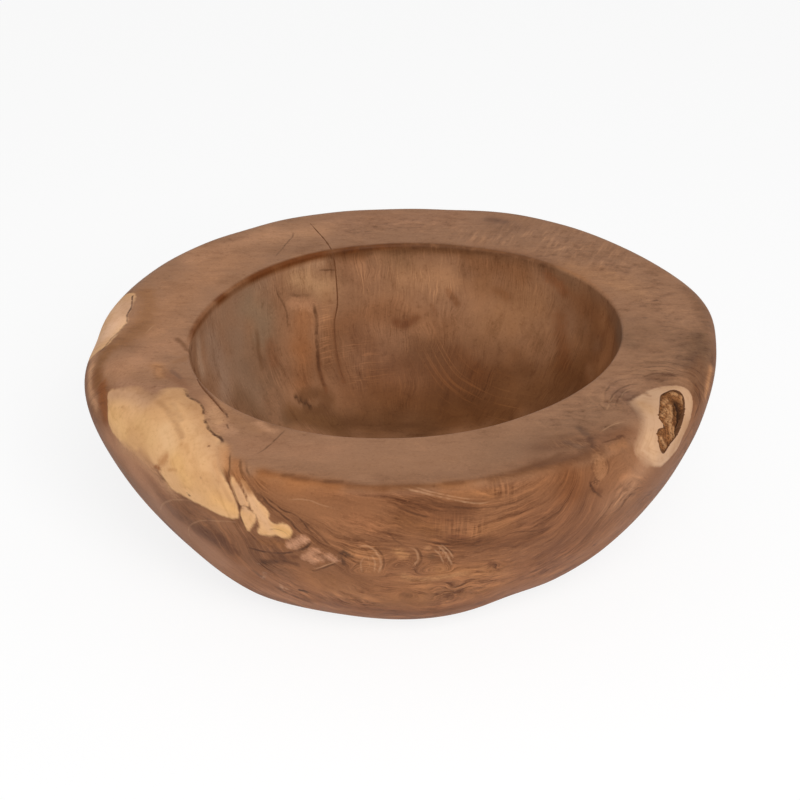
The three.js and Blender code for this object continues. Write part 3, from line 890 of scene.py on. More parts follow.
# Patches with a clear edge: pixels, radius, colour, strength
HEARTWOOD_STAINS = [
    # growth bent round the ends of the sapwood tongues
    ([(291, 546), (298, 542), (304, 539)], 2.5, (198, 146, 112), 0.9),
    ([(306, 558), (315, 551)], 2.7, (188, 136, 102), 0.9),
    ([(312, 561), (320, 558)], 2.3, (190, 138, 104), 0.9),
    ([(329, 557), (334, 560)], 2.5, (184, 134, 102), 0.9),
    ([(263, 562), (275, 561), (288, 562), (296, 564)], 1.8, (84, 50, 30), 0.7),
    ([(282, 557), (297, 557)], 1.5, (104, 62, 36), 0.7),
    ([(340, 555), (344, 564)], 1.2, (74, 46, 30), 0.9),
    ([(344, 552), (351, 556)], 1.5, (80, 52, 34), 0.8),
    ([(258, 563)], 0.9, (170, 132, 106), 0.6),
    ([(265, 573), (263, 579)], 1.0, (168, 130, 104), 0.6),
    ([(281, 585), (283, 590)], 1.1, (190, 146, 112), 0.7),
    ([(287, 589)], 1.0, (180, 138, 106), 0.7),
    ([(254, 571), (262, 577)], 1.5, (94, 68, 54), 0.6),
    ([(300, 590), (307, 592)], 1.1, (44, 24, 12), 1.0),
    ([(334, 600), (342, 602)], 1.4, (116, 64, 34), 0.6),
    # scorched front edge
    ([(284, 475), (292, 475)], 1.6, (104, 62, 32), 0.6),
    ([(296, 478), (306, 479)], 1.7, (110, 66, 36), 0.5),
    ([(326, 481), (341, 482)], 1.6, (100, 60, 32), 0.6),
    ([(349, 486), (384, 489)], 2.2, (116, 72, 42), 0.5),
    ([(446, 483), (462, 482)], 1.6, (104, 64, 38), 0.5),
    ([(522, 470), (545, 463)], 1.7, (104, 64, 38), 0.5),
    ([(545, 463), (560, 454)], 1.8, (104, 66, 40), 0.5),
    # arches of the front wall
    ([(398, 551), (404, 556)], 2.4, (180, 128, 84), 0.55),
    ([(432, 556)], 2.3, (100, 68, 44), 0.7),
    ([(427, 548)], 1.8, (180, 130, 90), 0.5),
    ([(404, 576), (412, 579), (430, 579), (450, 576), (466, 573)], 1.8, (184, 134, 90), 0.5),
    ([(402, 594), (408, 596)], 2.3, (98, 62, 38), 0.35),
    ([(451, 536), (466, 538)], 1.4, (104, 62, 40), 0.6),
    ([(490, 563), (497, 566)], 1.7, (104, 62, 38), 0.8),
    # right end of the front wall
    ([(599, 460), (601, 474)], 3.0, (172, 122, 84), 0.5),
    ([(592, 489), (600, 492)], 1.8, (98, 58, 34), 0.6),
    ([(612, 448), (624, 444)], 2.4, (160, 108, 70), 0.5),
    ([(618, 437), (623, 436)], 1.1, (84, 50, 32), 0.8),
    ([(579, 428), (586, 434)], 2.0, (88, 62, 46), 0.7),
    ([(590, 438), (592, 446)], 1.8, (84, 52, 34), 0.7),
    ([(566, 442), (580, 447)], 1.8, (100, 72, 54), 0.6),
    ([(594, 545)], 1.3, (84, 46, 30), 0.8),
    ([(630, 495), (634, 494)], 1.3, (96, 60, 40), 0.6),
    ([(697, 388), (700, 398)], 2.0, (112, 70, 42), 0.7),
    # left end of the wall
    ([(101, 386), (103, 402), (105, 418)], 3.4, (138, 80, 40), 0.9),
    ([(170, 508), (178, 516)], 4.5, (122, 84, 64), 0.4),
    ([(200, 532), (214, 539)], 5.5, (108, 70, 50), 0.7),
    ([(223, 540), (232, 550)], 4.5, (90, 50, 28), 0.7),
    # rim, left
    ([(146, 292), (148, 308), (143, 322)], 4.6, (152, 104, 66), 0.8),
    ([(146, 322), (132, 334), (118, 343)], 5.5, (146, 100, 64), 0.85),
    ([(112, 346), (104, 354), (98, 366)], 4.2, (138, 92, 55), 0.9),
    ([(97, 370), (98, 382)], 4.0, (132, 84, 47), 0.9),
    ([(156, 366), (163, 368), (165, 375), (158, 379), (154, 373), (156, 366)], 0.9, (140, 96, 62), 0.5),
    ([(168, 376), (178, 380), (185, 387)], 2.2, (138, 94, 66), 0.7),
    ([(172, 371), (180, 378)], 1.4, (116, 82, 64), 0.6),
    ([(177, 339), (184, 345), (190, 353)], 1.6, (120, 78, 48), 0.8),
    ([(176, 362), (190, 356)], 2.0, (150, 104, 70), 0.6),
    ([(192, 345), (191, 358), (195, 371)], 1.0, (106, 66, 40), 0.9),
    ([(197, 377), (209, 394), (226, 414)], 1.0, (112, 72, 46), 0.7),
    ([(212, 412), (218, 422)], 3.5, (194, 146, 106), 0.7),
    ([(225, 425), (232, 432)], 3.0, (176, 130, 98), 0.6),
    # rim, right
    ([(490, 219), (505, 222)], 3.2, (116, 81, 60), 0.75),
    ([(640, 306), (648, 304)], 0.9, (100, 66, 48), 0.8),
    ([(651, 302), (657, 300)], 0.9, (100, 66, 48), 0.8),
    ([(645, 318)], 1.2, (104, 76, 60), 0.6),
    # hollow, left
    ([(198, 352), (199, 368)], 1.6, (186, 146, 116), 0.7),
    ([(292, 412), (310, 418), (330, 424)], 6.0, (114, 76, 46), 0.7),
    ([(273, 395), (275, 420)], 4.0, (152, 110, 80), 0.55),
    ([(290, 304), (300, 303), (311, 305)], 3.0, (184, 134, 98), 0.7),
    ([(297, 398), (303, 401), (310, 407)], 2.0, (60, 34, 17), 0.85),
    ([(302, 397), (318, 394), (327, 399), (322, 409), (306, 412)], 4.2, (100, 64, 37), 0.75),
    ([(318, 354), (319, 368), (322, 380), (326, 391)], 1.5, (104, 62, 34), 0.75),
    ([(270, 344), (273, 362)], 3.5, (128, 80, 50), 0.45),
    ([(257, 332), (259, 352), (262, 368)], 1.5, (112, 76, 50), 0.6),
    ([(335, 310), (334, 335), (336, 352)], 0.9, (120, 76, 46), 0.6),
    ([(337, 355), (340, 370), (344, 382)], 1.3, (114, 70, 40), 0.7),
    # hollow, right
    ([(548, 276), (560, 285), (564, 292)], 3.2, (134, 78, 44), 0.5),
    ([(498, 291), (508, 297)], 2.5, (126, 80, 48), 0.5),
    ([(449, 291), (457, 304)], 2.0, (118, 72, 42), 0.65),
    ([(396, 322), (405, 325), (416, 318)], 2.4, (114, 66, 36), 0.7),
    ([(432, 305), (437, 313)], 1.2, (124, 76, 46), 0.5),
    ([(560, 318), (561, 340), (565, 362)], 4.5, (120, 70, 38), 0.5),
    ([(456, 352), (470, 362), (478, 376)], 5.0, (106, 62, 32), 0.5),
]
MOUTH_BAND_TONE = (106, 58, 26)

# The dark band just inside the mouth: azimuths where its thick part sets in and ends, its darkest azimuth,
# and the spread
MOUTH_BAND_SETS_IN = (70, 125)
MOUTH_BAND_ENDS = (172, 190)
MOUTH_BAND_DARKEST = 130
MOUTH_BAND_SPREAD = 13

# Cast of each zone: the rim and the wall are warmer than their patches, the hollow is greyer
RIM_CAST = (1.01, 0.985, 0.95)
WALL_CAST = (0.985, 0.97, 0.945)
HOLLOW_CAST = (0.99, 1.03, 1.08)

# The low wall is a little lighter: depths below the edge where this sets in and is full, and how much
LOW_WALL = (36, 75)
LOW_WALL_GAIN = 0.1


def patched(tone, patches):
    for pixels, radius, colour, strength in patches:
        share = strength * soft_stroke(pixels, radius)[..., None]
        tone = tone * (1 - share) + np.array(colour) * share
    return tone


def by_zone(rim, wall, hollow):
    """Values of the rim, the wall and the hollow, each on its own part of the grid."""
    on_wall = smoothstep(below_edge, -2.0, 2.0)[..., None]
    in_hollow = smoothstep(past_mouth, -0.5, 1.0)[..., None]
    outside = np.array(rim) * (1 - on_wall) + np.array(wall) * on_wall
    return outside * (1 - in_hollow) + np.array(hollow) * in_hollow


def dark_mouth_band():
    """How strongly the dark band just inside the mouth shows at every grid point, in uneven streaks."""
    thick = smoothstep(azimuth, *MOUTH_BAND_SETS_IN) * (1 - smoothstep(azimuth, *MOUTH_BAND_ENDS))
    band = smoothstep(past_mouth, -2.6, -0.4) * (1 - smoothstep(past_mouth, 0.2 + thick, 1.6 + 3.2 * thick))
    deepest = 0.4 * np.exp(-(((azimuth - MOUTH_BAND_DARKEST) / MOUTH_BAND_SPREAD) ** 2))
    streaky = np.clip(0.75 + deepest + 0.8 * blotches.reshape(azimuth.shape), 0.4, 1)
    return np.minimum(1.6 * thick, 1) * streaky * band


def ground_tone():
    """Ground colour of the wood at every grid point, as a display colour, with the painted shade and painted
    light of some patches.
    """
    tone = patched(by_zone(RIM_TONE, WALL_TONE, HOLLOW_TONE), HOLLOW_PATCHES + RIM_PATCHES + WALL_PATCHES)
    tone = tone * by_zone(RIM_CAST, WALL_CAST, HOLLOW_CAST)
    tone = tone * (1 + LOW_WALL_GAIN * smoothstep(below_edge, *LOW_WALL)[..., None])
    # the ground colour is darkened in a band just inside the mouth
    mouth_band_share = dark_mouth_band()[..., None]
    return tone * (1 - mouth_band_share) + np.array(MOUTH_BAND_TONE) * mouth_band_share


# Sapwood and the knot's collar: their ground colours, with soft patches and stains
SAPWOOD_TONE = (231, 180, 128)
COLLAR_TONE = (198, 157, 123)
SAPWOOD_PATCHES = [
    ([(111, 394), (130, 394), (148, 403)], 5, (198, 153, 118), 0.9),
    ([(162, 400), (184, 395), (198, 407)], 7, (195, 146, 101), 0.9),
    ([(150, 412), (166, 424), (178, 446)], 4, (214, 162, 112), 0.6),
    ([(128, 436), (144, 452)], 4, (216, 166, 116), 0.6),
    ([(192, 478), (210, 500)], 5, (222, 168, 112), 0.6),
    ([(112, 414), (124, 432)], 5, (242, 192, 130), 0.6),
    ([(140, 425), (152, 440)], 6, (226, 178, 122), 0.6),
    ([(165, 430), (172, 450)], 5, (238, 194, 146), 0.6),
    ([(176, 462), (186, 480)], 5, (240, 188, 122), 0.6),
    ([(196, 430), (206, 458)], 5, (228, 182, 134), 0.5),
    ([(211, 440), (218, 480)], 4, (222, 174, 128), 0.8),
    ([(215, 500), (234, 510)], 4, (242, 188, 124), 0.8),
    ([(124, 306), (104, 338)], 9, (240, 193, 157), 0.9),
    ([(130, 299), (125, 313)], 5, (200, 155, 120), 0.8),
    ([(238, 490), (244, 508)], 3, (214, 166, 126), 0.9),
    ([(200, 412), (212, 440), (219, 462)], 5, (208, 158, 114), 0.7),
    ([(247, 490), (258, 512), (270, 528)], 3, (224, 176, 134), 0.8),
    ([(278, 530), (290, 533)], 3, (230, 180, 118), 0.8),
    ([(243, 478), (249, 489)], 2.6, (160, 108, 68), 0.85),
    ([(650, 440), (654, 455)], 4, (212, 170, 132), 0.7),
    ([(640, 403), (650, 410)], 3, (194, 150, 110), 0.7),
    ([(672, 452), (688, 425)], 3, (180, 136, 100), 0.75),
]
SAPWOOD_STAINS = [
    ([(153, 468), (159, 468)], 1.6, (150, 86, 44), 0.9),
    ([(160, 463), (164, 460), (166, 456)], 2.0, (186, 124, 74), 0.65),
    ([(164, 458), (166, 454)], 1.2, (184, 122, 72), 0.5),
    ([(168, 470), (176, 470)], 0.9, (198, 138, 84), 0.6),
    ([(209, 446)], 0.8, (112, 66, 36), 0.9),
    ([(201, 478)], 0.7, (150, 98, 58), 0.8),
    ([(188, 494), (190, 496)], 0.7, (96, 58, 30), 0.9),
    ([(122, 407), (126, 408)], 0.8, (196, 142, 92), 0.6),
    ([(126, 432), (130, 429)], 0.9, (204, 150, 96), 0.5),
    ([(186, 446), (188, 452)], 1.3, (206, 152, 98), 0.5),
    ([(158, 401), (168, 411), (176, 424), (182, 437)], 1.5, (178, 130, 88), 0.6),
    ([(172, 404), (181, 420)], 1.6, (186, 140, 98), 0.5),
    ([(214, 462), (222, 484), (230, 500)], 1.3, (206, 152, 104), 0.5),
    ([(140, 452), (150, 462), (158, 474)], 2.2, (190, 138, 98), 0.6),
    ([(645, 394), (650, 396)], 0.9, (150, 104, 70), 0.6),
]


# Distances from the collar over which its ground colour gives way to the sapwood's
COLLAR_FADE = (4, 10)


def collared(tone, collar_tone):
    share = (1 - smoothstep(collar, *COLLAR_FADE))[..., None]
    return np.array(tone) * (1 - share) + np.array(collar_tone) * share


def linear(tone):
    shares = tone / 255
    return np.where(shares <= 0.04045, shares / 12.92, ((shares + 0.055) / 1.055) ** 2.4)


stain_reach, stain_ground = stained(HEARTWOOD_STAINS)
sapwood_stain_reach, sapwood_stain_ground = stained(SAPWOOD_STAINS)
GROUNDS = {
    "ground": linear(ground_tone()),
    "stain_ground": stain_ground,
    "sapwood_ground": linear(patched(collared(SAPWOOD_TONE, COLLAR_TONE), SAPWOOD_PATCHES)),
    "sapwood_stain_ground": sapwood_stain_ground,
}


def marked(strokes):
    """Mask of the places where some kind of mark shows, from soft strokes."""
    mask = np.zeros(azimuth.shape)
    for pixels, radius in strokes:
        mask = np.maximum(mask, soft_stroke(pixels, radius))
    return mask


# Where the figure is quiet or busy, where fibres ripple across the grain, and where tools left their marks
QUIET = [
    ([(110, 440), (140, 480), (180, 525), (215, 560)], 17), ([(625, 445), (645, 465), (668, 470)], 9),
    ([(280, 495), (310, 505), (370, 507)], 7), ([(228, 315), (232, 350), (245, 385)], 14),
    ([(290, 455), (400, 462), (520, 450)], 14),
]
BUSY_WALL = [
    ([(300, 588), (390, 598), (480, 588)], 14), ([(590, 530), (630, 495)], 13),
    ([(358, 560), (445, 560)], 12),
]
RIBBONS = [([(442, 522), (472, 530)], 6), ([(492, 484), (515, 492)], 4), ([(560, 445), (595, 447)], 5)]
HATCHING = [([(520, 232), (560, 240), (600, 256)], 15), ([(470, 235), (500, 240)], 8)]
SCRAPES = [([(326, 310), (326, 355)], 5), ([(352, 350), (375, 366)], 8), ([(355, 378), (375, 374)], 5)]
SCRATCHES = [([(362, 258), (366, 295)], 6), ([(431, 250), (432, 295)], 5), ([(449, 252), (451, 285)], 4)]
SANDING = [([(440, 370), (465, 392), (505, 406)], 11)]
SANDING_GUIDE = [(425, 345), (436, 366), (450, 384), (470, 397), (492, 407), (520, 413)]
SANDING_REACH = 30.0
SWIRL = [([(606, 400), (622, 385), (650, 374), (690, 374)], 9), ([(628, 398), (634, 412)], 6)]
MOTTLE = [
    ([(625, 270), (660, 300), (690, 340), (660, 375)], 16), ([(560, 420), (600, 405), (620, 395)], 12),
    ([(545, 250), (580, 250)], 10), ([(580, 440), (600, 430)], 8), ([(350, 228), (450, 222)], 12),
]
SOFT_EDGE = [
    ([(136, 391), (150, 398), (162, 393)], 7), ([(223, 446), (223, 464)], 4.5),
    ([(634, 404), (640, 416), (643, 428), (641, 440)], 3.0), ([(637, 446), (640, 455), (648, 461)], 3.5),
    ([(125, 443), (150, 466), (168, 490)], 3.0),
]
ARCHED = [([(363, 555), (372, 561)], 8), ([(401, 552), (409, 558)], 7), ([(436, 549), (446, 556)], 7)]
marks = {
    "quiet": marked(QUIET),
    "busy": marked(BUSY_WALL),
    "ribbon": marked(RIBBONS),
    "hatching": marked(HATCHING),
    "scrapes": marked(SCRAPES),
    "scratches": marked(SCRATCHES),
    "sanding": marked(SANDING),
    "swirl": marked(SWIRL),
    "mottle": marked(MOTTLE),
    "soft_edge": marked(SOFT_EDGE),
    "arched": marked(ARCHED),
}
sanding_side = np.full(len(flat_points), FAR)
near, side, _, _ = beside(SANDING_GUIDE, SANDING_REACH)
sanding_side[near] = side

FIELDS = {
    "flank": flank,
    "streak": streak,
    "collar": collar,
    "core": core,
    "tongues": tongues,
    "ring": ring,
    "around": around_front,
    "below_edge": below_edge,
    "past_mouth": past_mouth,
    "hollow_around": hollow_around,
    "stain_reach": stain_reach,
    "sapwood_stain_reach": sapwood_stain_reach,
    "sanding_side": sanding_side,
    **line_fields,
    **marks,
}


# Closed pieces cut from the grid


def quads_inside(field):
    return field.reshape(-1)[quads].mean(1) < 0


def rim_of(faces):
    """Edges of some faces that no other of them shares, in the faces' own direction."""
    starts, ends = faces.reshape(-1), np.roll(faces, -1, 1).reshape(-1)
    codes = starts * np.int64(len(flat_points)) + ends
    back = ends * np.int64(len(flat_points)) + starts
    open_edges = ~np.isin(codes, back)
    return np.stack([starts[open_edges], ends[open_edges]], -1)


def placed(name, data):
    """A new object of the scene, with its mesh, lamp or lens."""
    item = bpy.data.objects.new(name, data)
    bpy.context.scene.collection.objects.link(item)
    return item


def add_values(mesh, name, values):
    layer = mesh.attributes.new(name, "FLOAT", "POINT")
    layer.data.foreach_set("value", values.astype(np.float32))


def add_colours(mesh, name, colours):
    """Colours of three or four channels, as an attribute; a missing fourth channel is 1."""
    layer = mesh.attributes.new(name, "FLOAT_COLOR", "POINT")
    rgba = np.ones((len(colours), 4), np.float32)
    rgba[:, : colours.shape[1]] = colours
    layer.data.foreach_set("color", rgba.reshape(-1))


def side_walls(edges, upper, lower):
    """Quads from edges on one level down to the same edges on another."""
    starts, ends = edges[:, 0], edges[:, 1]
    return np.stack([starts + upper, ends + upper, ends + lower, starts + lower], -1)


def grid_piece(name, top, sunk=(), back=None, poles=False):
    """A closed piece: top faces on the surface, sunk beds with their walls, and a back at a depth."""
    corners, faces = [], []

    def level(shift):
        """A copy of every grid point, moved; points that no face uses are dropped later."""
        corners.append(flat_points + shift)
        return (len(corners) - 1) * len(flat_points)

    surface_base = level(np.zeros(3))
    faces.append(quads[top] + surface_base)
    for bed, outward, depth in sunk:
        floor_base = level(-outward * depth)
        faces.append(quads[bed] + floor_base)
        faces.append(side_walls(rim_of(quads[bed]), surface_base, floor_base))
    if back is not None:
        covered, outward, depth = back
        back_base = level(-outward * depth)
        faces.append(quads[covered][:, ::-1] + back_base)
        faces.append(side_walls(rim_of(quads[covered])[:, ::-1], surface_base, back_base))
    quad_faces = np.concatenate(faces)
    used = np.unique(quad_faces)
    sources = used % len(flat_points)
    sunken = (used >= len(flat_points)).astype(float)
    renumber = np.full(len(corners) * len(flat_points), -1)
    renumber[used] = np.arange(len(used))
    corners = np.concatenate(corners)[used]
    face_list = renumber[quad_faces].tolist()
    if poles:
        foot_middle, floor_middle = len(corners), len(corners) + 1
        corners = np.concatenate([corners, [[0, 0, 0], [0, 0, FLOOR_THICKNESS]]])
        sources = np.concatenate([sources, [0, LEVELS - 1]])
        sunken = np.concatenate([sunken, [0, 0]])
        first = renumber[np.arange(COLUMNS) * LEVELS]
        last = renumber[np.arange(COLUMNS) * LEVELS + LEVELS - 1]
        face_list += [[foot_middle, b, a] for a, b in zip(first, np.roll(first, -1))]
        face_list += [[floor_middle, a, b] for a, b in zip(last, np.roll(last, -1))]
    mesh = bpy.data.meshes.new(name)
    mesh.from_pydata((corners * MM).tolist(), [], face_list)
    for field_name, field in FIELDS.items():
        add_values(mesh, field_name, field.reshape(-1)[sources])
    add_values(mesh, "sunken", sunken)
    for ground_name, ground in GROUNDS.items():
        add_colours(mesh, ground_name, ground.reshape(-1, ground.shape[-1])[sources])
    mesh.shade_smooth()
    on_surface = quads[top].reshape(-1)
    loop_normals = np.zeros((len(mesh.loops), 3), np.float32)
    loop_normals[: len(on_surface)] = flat_normals[on_surface]
    mesh.normals_split_custom_set(loop_normals.tolist())
    return placed(name, mesh)


# Knot core: a rough plug below the surface, drawn as rings from its middle out to its outline

CORE_MIDDLE = (9.0, 1.5)
CORE_RINGS = 26
CORE_OUTLINE_STEPS = 8
CORE_TOP = 0.65
CORE_CLEARANCE = 3.0
CHAR_DEPTH = 2.2
RIDGE_HEIGHT = 0.5

# Height over the knot's plane from which the surface is sought
SEEK_FROM = 60.0

# Burnt hollow and pale ridges in it: pixels, radius
CORE_CHAR = [([(679, 403), (681.5, 412), (681, 423), (678.5, 432)], 2.0), ([(676, 407), (677, 414)], 1.0)]
CORE_RIDGES = [
    ([(664, 403), (668, 400)], 0.9), ([(663, 415), (667, 409), (670, 415), (667, 421)], 0.9),
    ([(671, 424), (672, 436)], 1.1), ([(662, 438), (666, 446)], 0.9), ([(673, 393), (677, 394)], 1.0),
    ([(682, 396), (683, 402)], 0.8), ([(671, 405), (672, 415), (670, 424)], 1.0),
    ([(674, 427), (675, 437)], 0.8),
]


def core_strokes(places, strokes):
    """Mask of soft strokes on the core, in the knot's own plane."""
    anchor, across, upward, _ = inlay_frame(KNOT)
    mask = np.zeros(len(places))
    for pixels, radius in strokes:
        offsets = seen_path(pixels)[0] - anchor
        line = np.stack([offsets @ across, offsets @ upward], -1)
        apart = np.linalg.norm(places[:, None] - line[None], axis=-1).min(1)
        mask = np.maximum(mask, np.exp(-((apart / radius) ** 2)))
    return mask


def core_roughness(u, v):
    coarse = noise.noise(Vector((u * 0.22, v * 0.22, 3.1)))
    fine = noise.noise(Vector((u * 0.7, v * 0.7, 8.7)))
    fibres = noise.noise(Vector((u * 1.9, v * 0.5, 1.3)))
    return 0.5 * coarse + 0.4 * fine + 0.3 * fibres


def knot_core_piece():
    anchor, across, upward, outward = inlay_frame(KNOT)
    ring = rounded_outline(core_outline, CORE_OUTLINE_STEPS)
    middle = np.array(CORE_MIDDLE)
    inset = 1 - FIT_GAP / np.linalg.norm(ring - middle, axis=1, keepdims=True)
    ring = middle + (ring - middle) * inset
    places = [middle]
    for step in range(1, CORE_RINGS + 1):
        places.extend(middle + (ring - middle) * (step / CORE_RINGS))
    char = core_strokes(np.array(places), CORE_CHAR)
    ridge = core_strokes(np.array(places), CORE_RIDGES)
    tops = []
    for (u, v), burnt, raised in zip(places, char, ridge):
        start = anchor + across * u + upward * v + outward * SEEK_FROM
        spot, _, _, _ = bowl_tree.ray_cast(Vector(start), Vector(-outward))
        depth = CORE_TOP - core_roughness(u, v) + CHAR_DEPTH * burnt - RIDGE_HEIGHT * raised
        tops.append(np.array(spot) - outward * depth)
    count = len(ring)
    last = 1 + (CORE_RINGS - 1) * count
    base = last + count
    bottoms = np.array(tops[last:]) - outward * (KNOT_PIT - KNOT_RECESS - CORE_CLEARANCE)
    corners = np.concatenate([np.array(tops), bottoms, [bottoms.mean(0)]])
    faces = []
    for i in range(count):
        j = (i + 1) % count
        faces.append([0, 1 + i, 1 + j])
        for step in range(CORE_RINGS - 1):
            a, b = 1 + step * count, 1 + (step + 1) * count
            faces.append([a + i, b + i, b + j, a + j])
        faces.append([last + i, base + i, base + j, last + j])
        faces.append([base + i, base + count, base + j])
    mesh = bpy.data.meshes.new("knot_core_wood")
    mesh.from_pydata((corners * MM).tolist(), [], faces)
    below = np.zeros(len(corners) - len(tops))
    for field_name, field in (("char", char), ("ridge", ridge)):
        add_values(mesh, field_name, np.concatenate([field, below]))
    mesh.shade_smooth()
    return placed("knot_core_wood", mesh)


# Materials

# Painted shade for the pit of the knot and the walls and floors of the sunk beds
PAINTED_PIT_SHADE = srgb(92, 58, 34)
HAIRLINE_TONE = srgb(78, 46, 27)
PALE_LINE_TONE = srgb(206, 160, 120)

# Factors on a ground colour's channels: for dark and pale figure, and for the sapwood's tan and lines
DARK_FIGURE = (0.42, 0.33, 0.26)
PALE_FIGURE = (1.5, 1.5, 1.46)
SAPWOOD_TAN = (0.84, 0.77, 0.68)
SAPWOOD_LINES = (0.78, 0.7, 0.6)

# Turn of the tool's hatching on the rim, in degrees
HATCHING_TURN = 20


class Figure:
    """Builds one material's nodes; every helper returns an output socket."""

    def __init__(self, name):
        self.material = bpy.data.materials.new(name)
        self.material.use_nodes = True
        self.tree = self.material.node_tree
        self.tree.nodes.clear()
        self.output = self.tree.nodes.new("ShaderNodeOutputMaterial")
        self.shader = self.tree.nodes.new("ShaderNodeBsdfPrincipled")
        self.shader.inputs["Specular IOR Level"].default_value = 0.1
        self.tree.links.new(self.shader.outputs["BSDF"], self.output.inputs["Surface"])
        self.place = self.scaled(self.tree.nodes.new("ShaderNodeTexCoord").outputs["Object"], (1 / MM,) * 3)

    def put(self, value, socket):
        if isinstance(value, bpy.types.NodeSocket):
            self.tree.links.new(value, socket)
        else:
            socket.default_value = value

    def field(self, name, output="Fac"):
        node = self.tree.nodes.new("ShaderNodeAttribute")
        node.attribute_name = name
        return node.outputs[output]

    def math(self, operation, first, second=0.0, third=0.0):
        node = self.tree.nodes.new("ShaderNodeMath")
        node.operation = operation
        for value, socket in zip((first, second, third), node.inputs):
            self.put(value, socket)
        return node.outputs[0]

    def add(self, first, *others):
        for other in others:
            first = self.math("ADD", first, other)
        return first

    def times(self, first, second):
        return self.math("MULTIPLY", first, second)

    def less(self, first, second):
        return self.math("SUBTRACT", first, second)

    def rest(self, share):
        """What a share leaves of 1."""
        return self.less(1.0, share)

    def smooth(self, value, low, high):
        node = self.tree.nodes.new("ShaderNodeMapRange")
        node.interpolation_type = "SMOOTHSTEP"
        self.put(value, node.inputs["Value"])
        node.inputs["From Min"].default_value = low
        node.inputs["From Max"].default_value = high
        return node.outputs["Result"]

    def rise(self, value, low, high, amount):
        """0 up to low, an amount from high on, and a smooth rise between them."""
        return self.times(self.smooth(value, low, high), amount)

    def on_mark(self, mark, value, low, high, amount):
        """A rise that shows only where a mark lies."""
        return self.times(self.rise(value, low, high, amount), self.field(mark))

    def band(self, value, half_width, soft):
        """1 where a signed distance is within a half width of 0."""
        return self.rest(self.smooth(self.math("ABSOLUTE", value), half_width, half_width + soft))

    def vector(self, x, y, z=0.0):
        node = self.tree.nodes.new("ShaderNodeCombineXYZ")
        for value, socket in zip((x, y, z), node.inputs):
            self.put(value, socket)
        return node.outputs[0]

    def scaled(self, vector, scale, turn=0.0):
        """A vector turned about the upright axis by an angle in degrees, and then scaled."""
        if turn:
            vector = self.mapped(vector, "Rotation", (0, 0, math.radians(turn)))
        return self.mapped(vector, "Scale", scale)

    def mapped(self, vector, setting, value):
        node = self.tree.nodes.new("ShaderNodeMapping")
        self.put(vector, node.inputs["Vector"])
        node.inputs[setting].default_value = value
        return node.outputs[0]

    def noise(self, vector, scale=1.0, detail=2.0, roughness=0.5):
        node = self.tree.nodes.new("ShaderNodeTexNoise")
        self.put(vector, node.inputs["Vector"])
        node.inputs["Scale"].default_value = scale
        node.inputs["Detail"].default_value = detail
        node.inputs["Roughness"].default_value = roughness
        return node.outputs[0]

    def grain(self, across, along, layer=0.0, detail=2.0, roughness=0.5):
        """Noise stretched along the grain; across and along are each a place and the scale for it."""
        stretched = self.vector(self.times(*across), self.times(*along), layer)
        return self.noise(stretched, 1.0, detail, roughness)

    def mix(self, share, first, second, blend="MIX"):
        node = self.tree.nodes.new("ShaderNodeMix")
        node.data_type = "RGBA"
        node.blend_type = blend
        for value, name in ((share, "Factor_Float"), (first, "A_Color"), (second, "B_Color")):
            socket = next(s for s in node.inputs if s.identifier == name)
            if isinstance(value, (list, tuple)) and len(value) == 3:
                value = (*value, 1.0)
            self.put(value, socket)
        return next(s for s in node.outputs if s.identifier == "Result_Color")

    def shaded(self, share, colour, shade):
        """A colour, with a share of it multiplied by a shade."""
        return self.mix(share, colour, self.mix(1.0, colour, shade, "MULTIPLY"))

    def bump(self, height, strength, distance):
        node = self.tree.nodes.new("ShaderNodeBump")
        self.put(height, node.inputs["Height"])
        node.inputs["Strength"].default_value = strength
        node.inputs["Distance"].default_value = distance
        return node.outputs["Normal"]

    def finish(self, colour, roughness, normal):
        self.put(colour, self.shader.inputs["Base Color"])
        self.put(roughness, self.shader.inputs["Roughness"])
        self.put(normal, self.shader.inputs["Normal"])
        return self.material


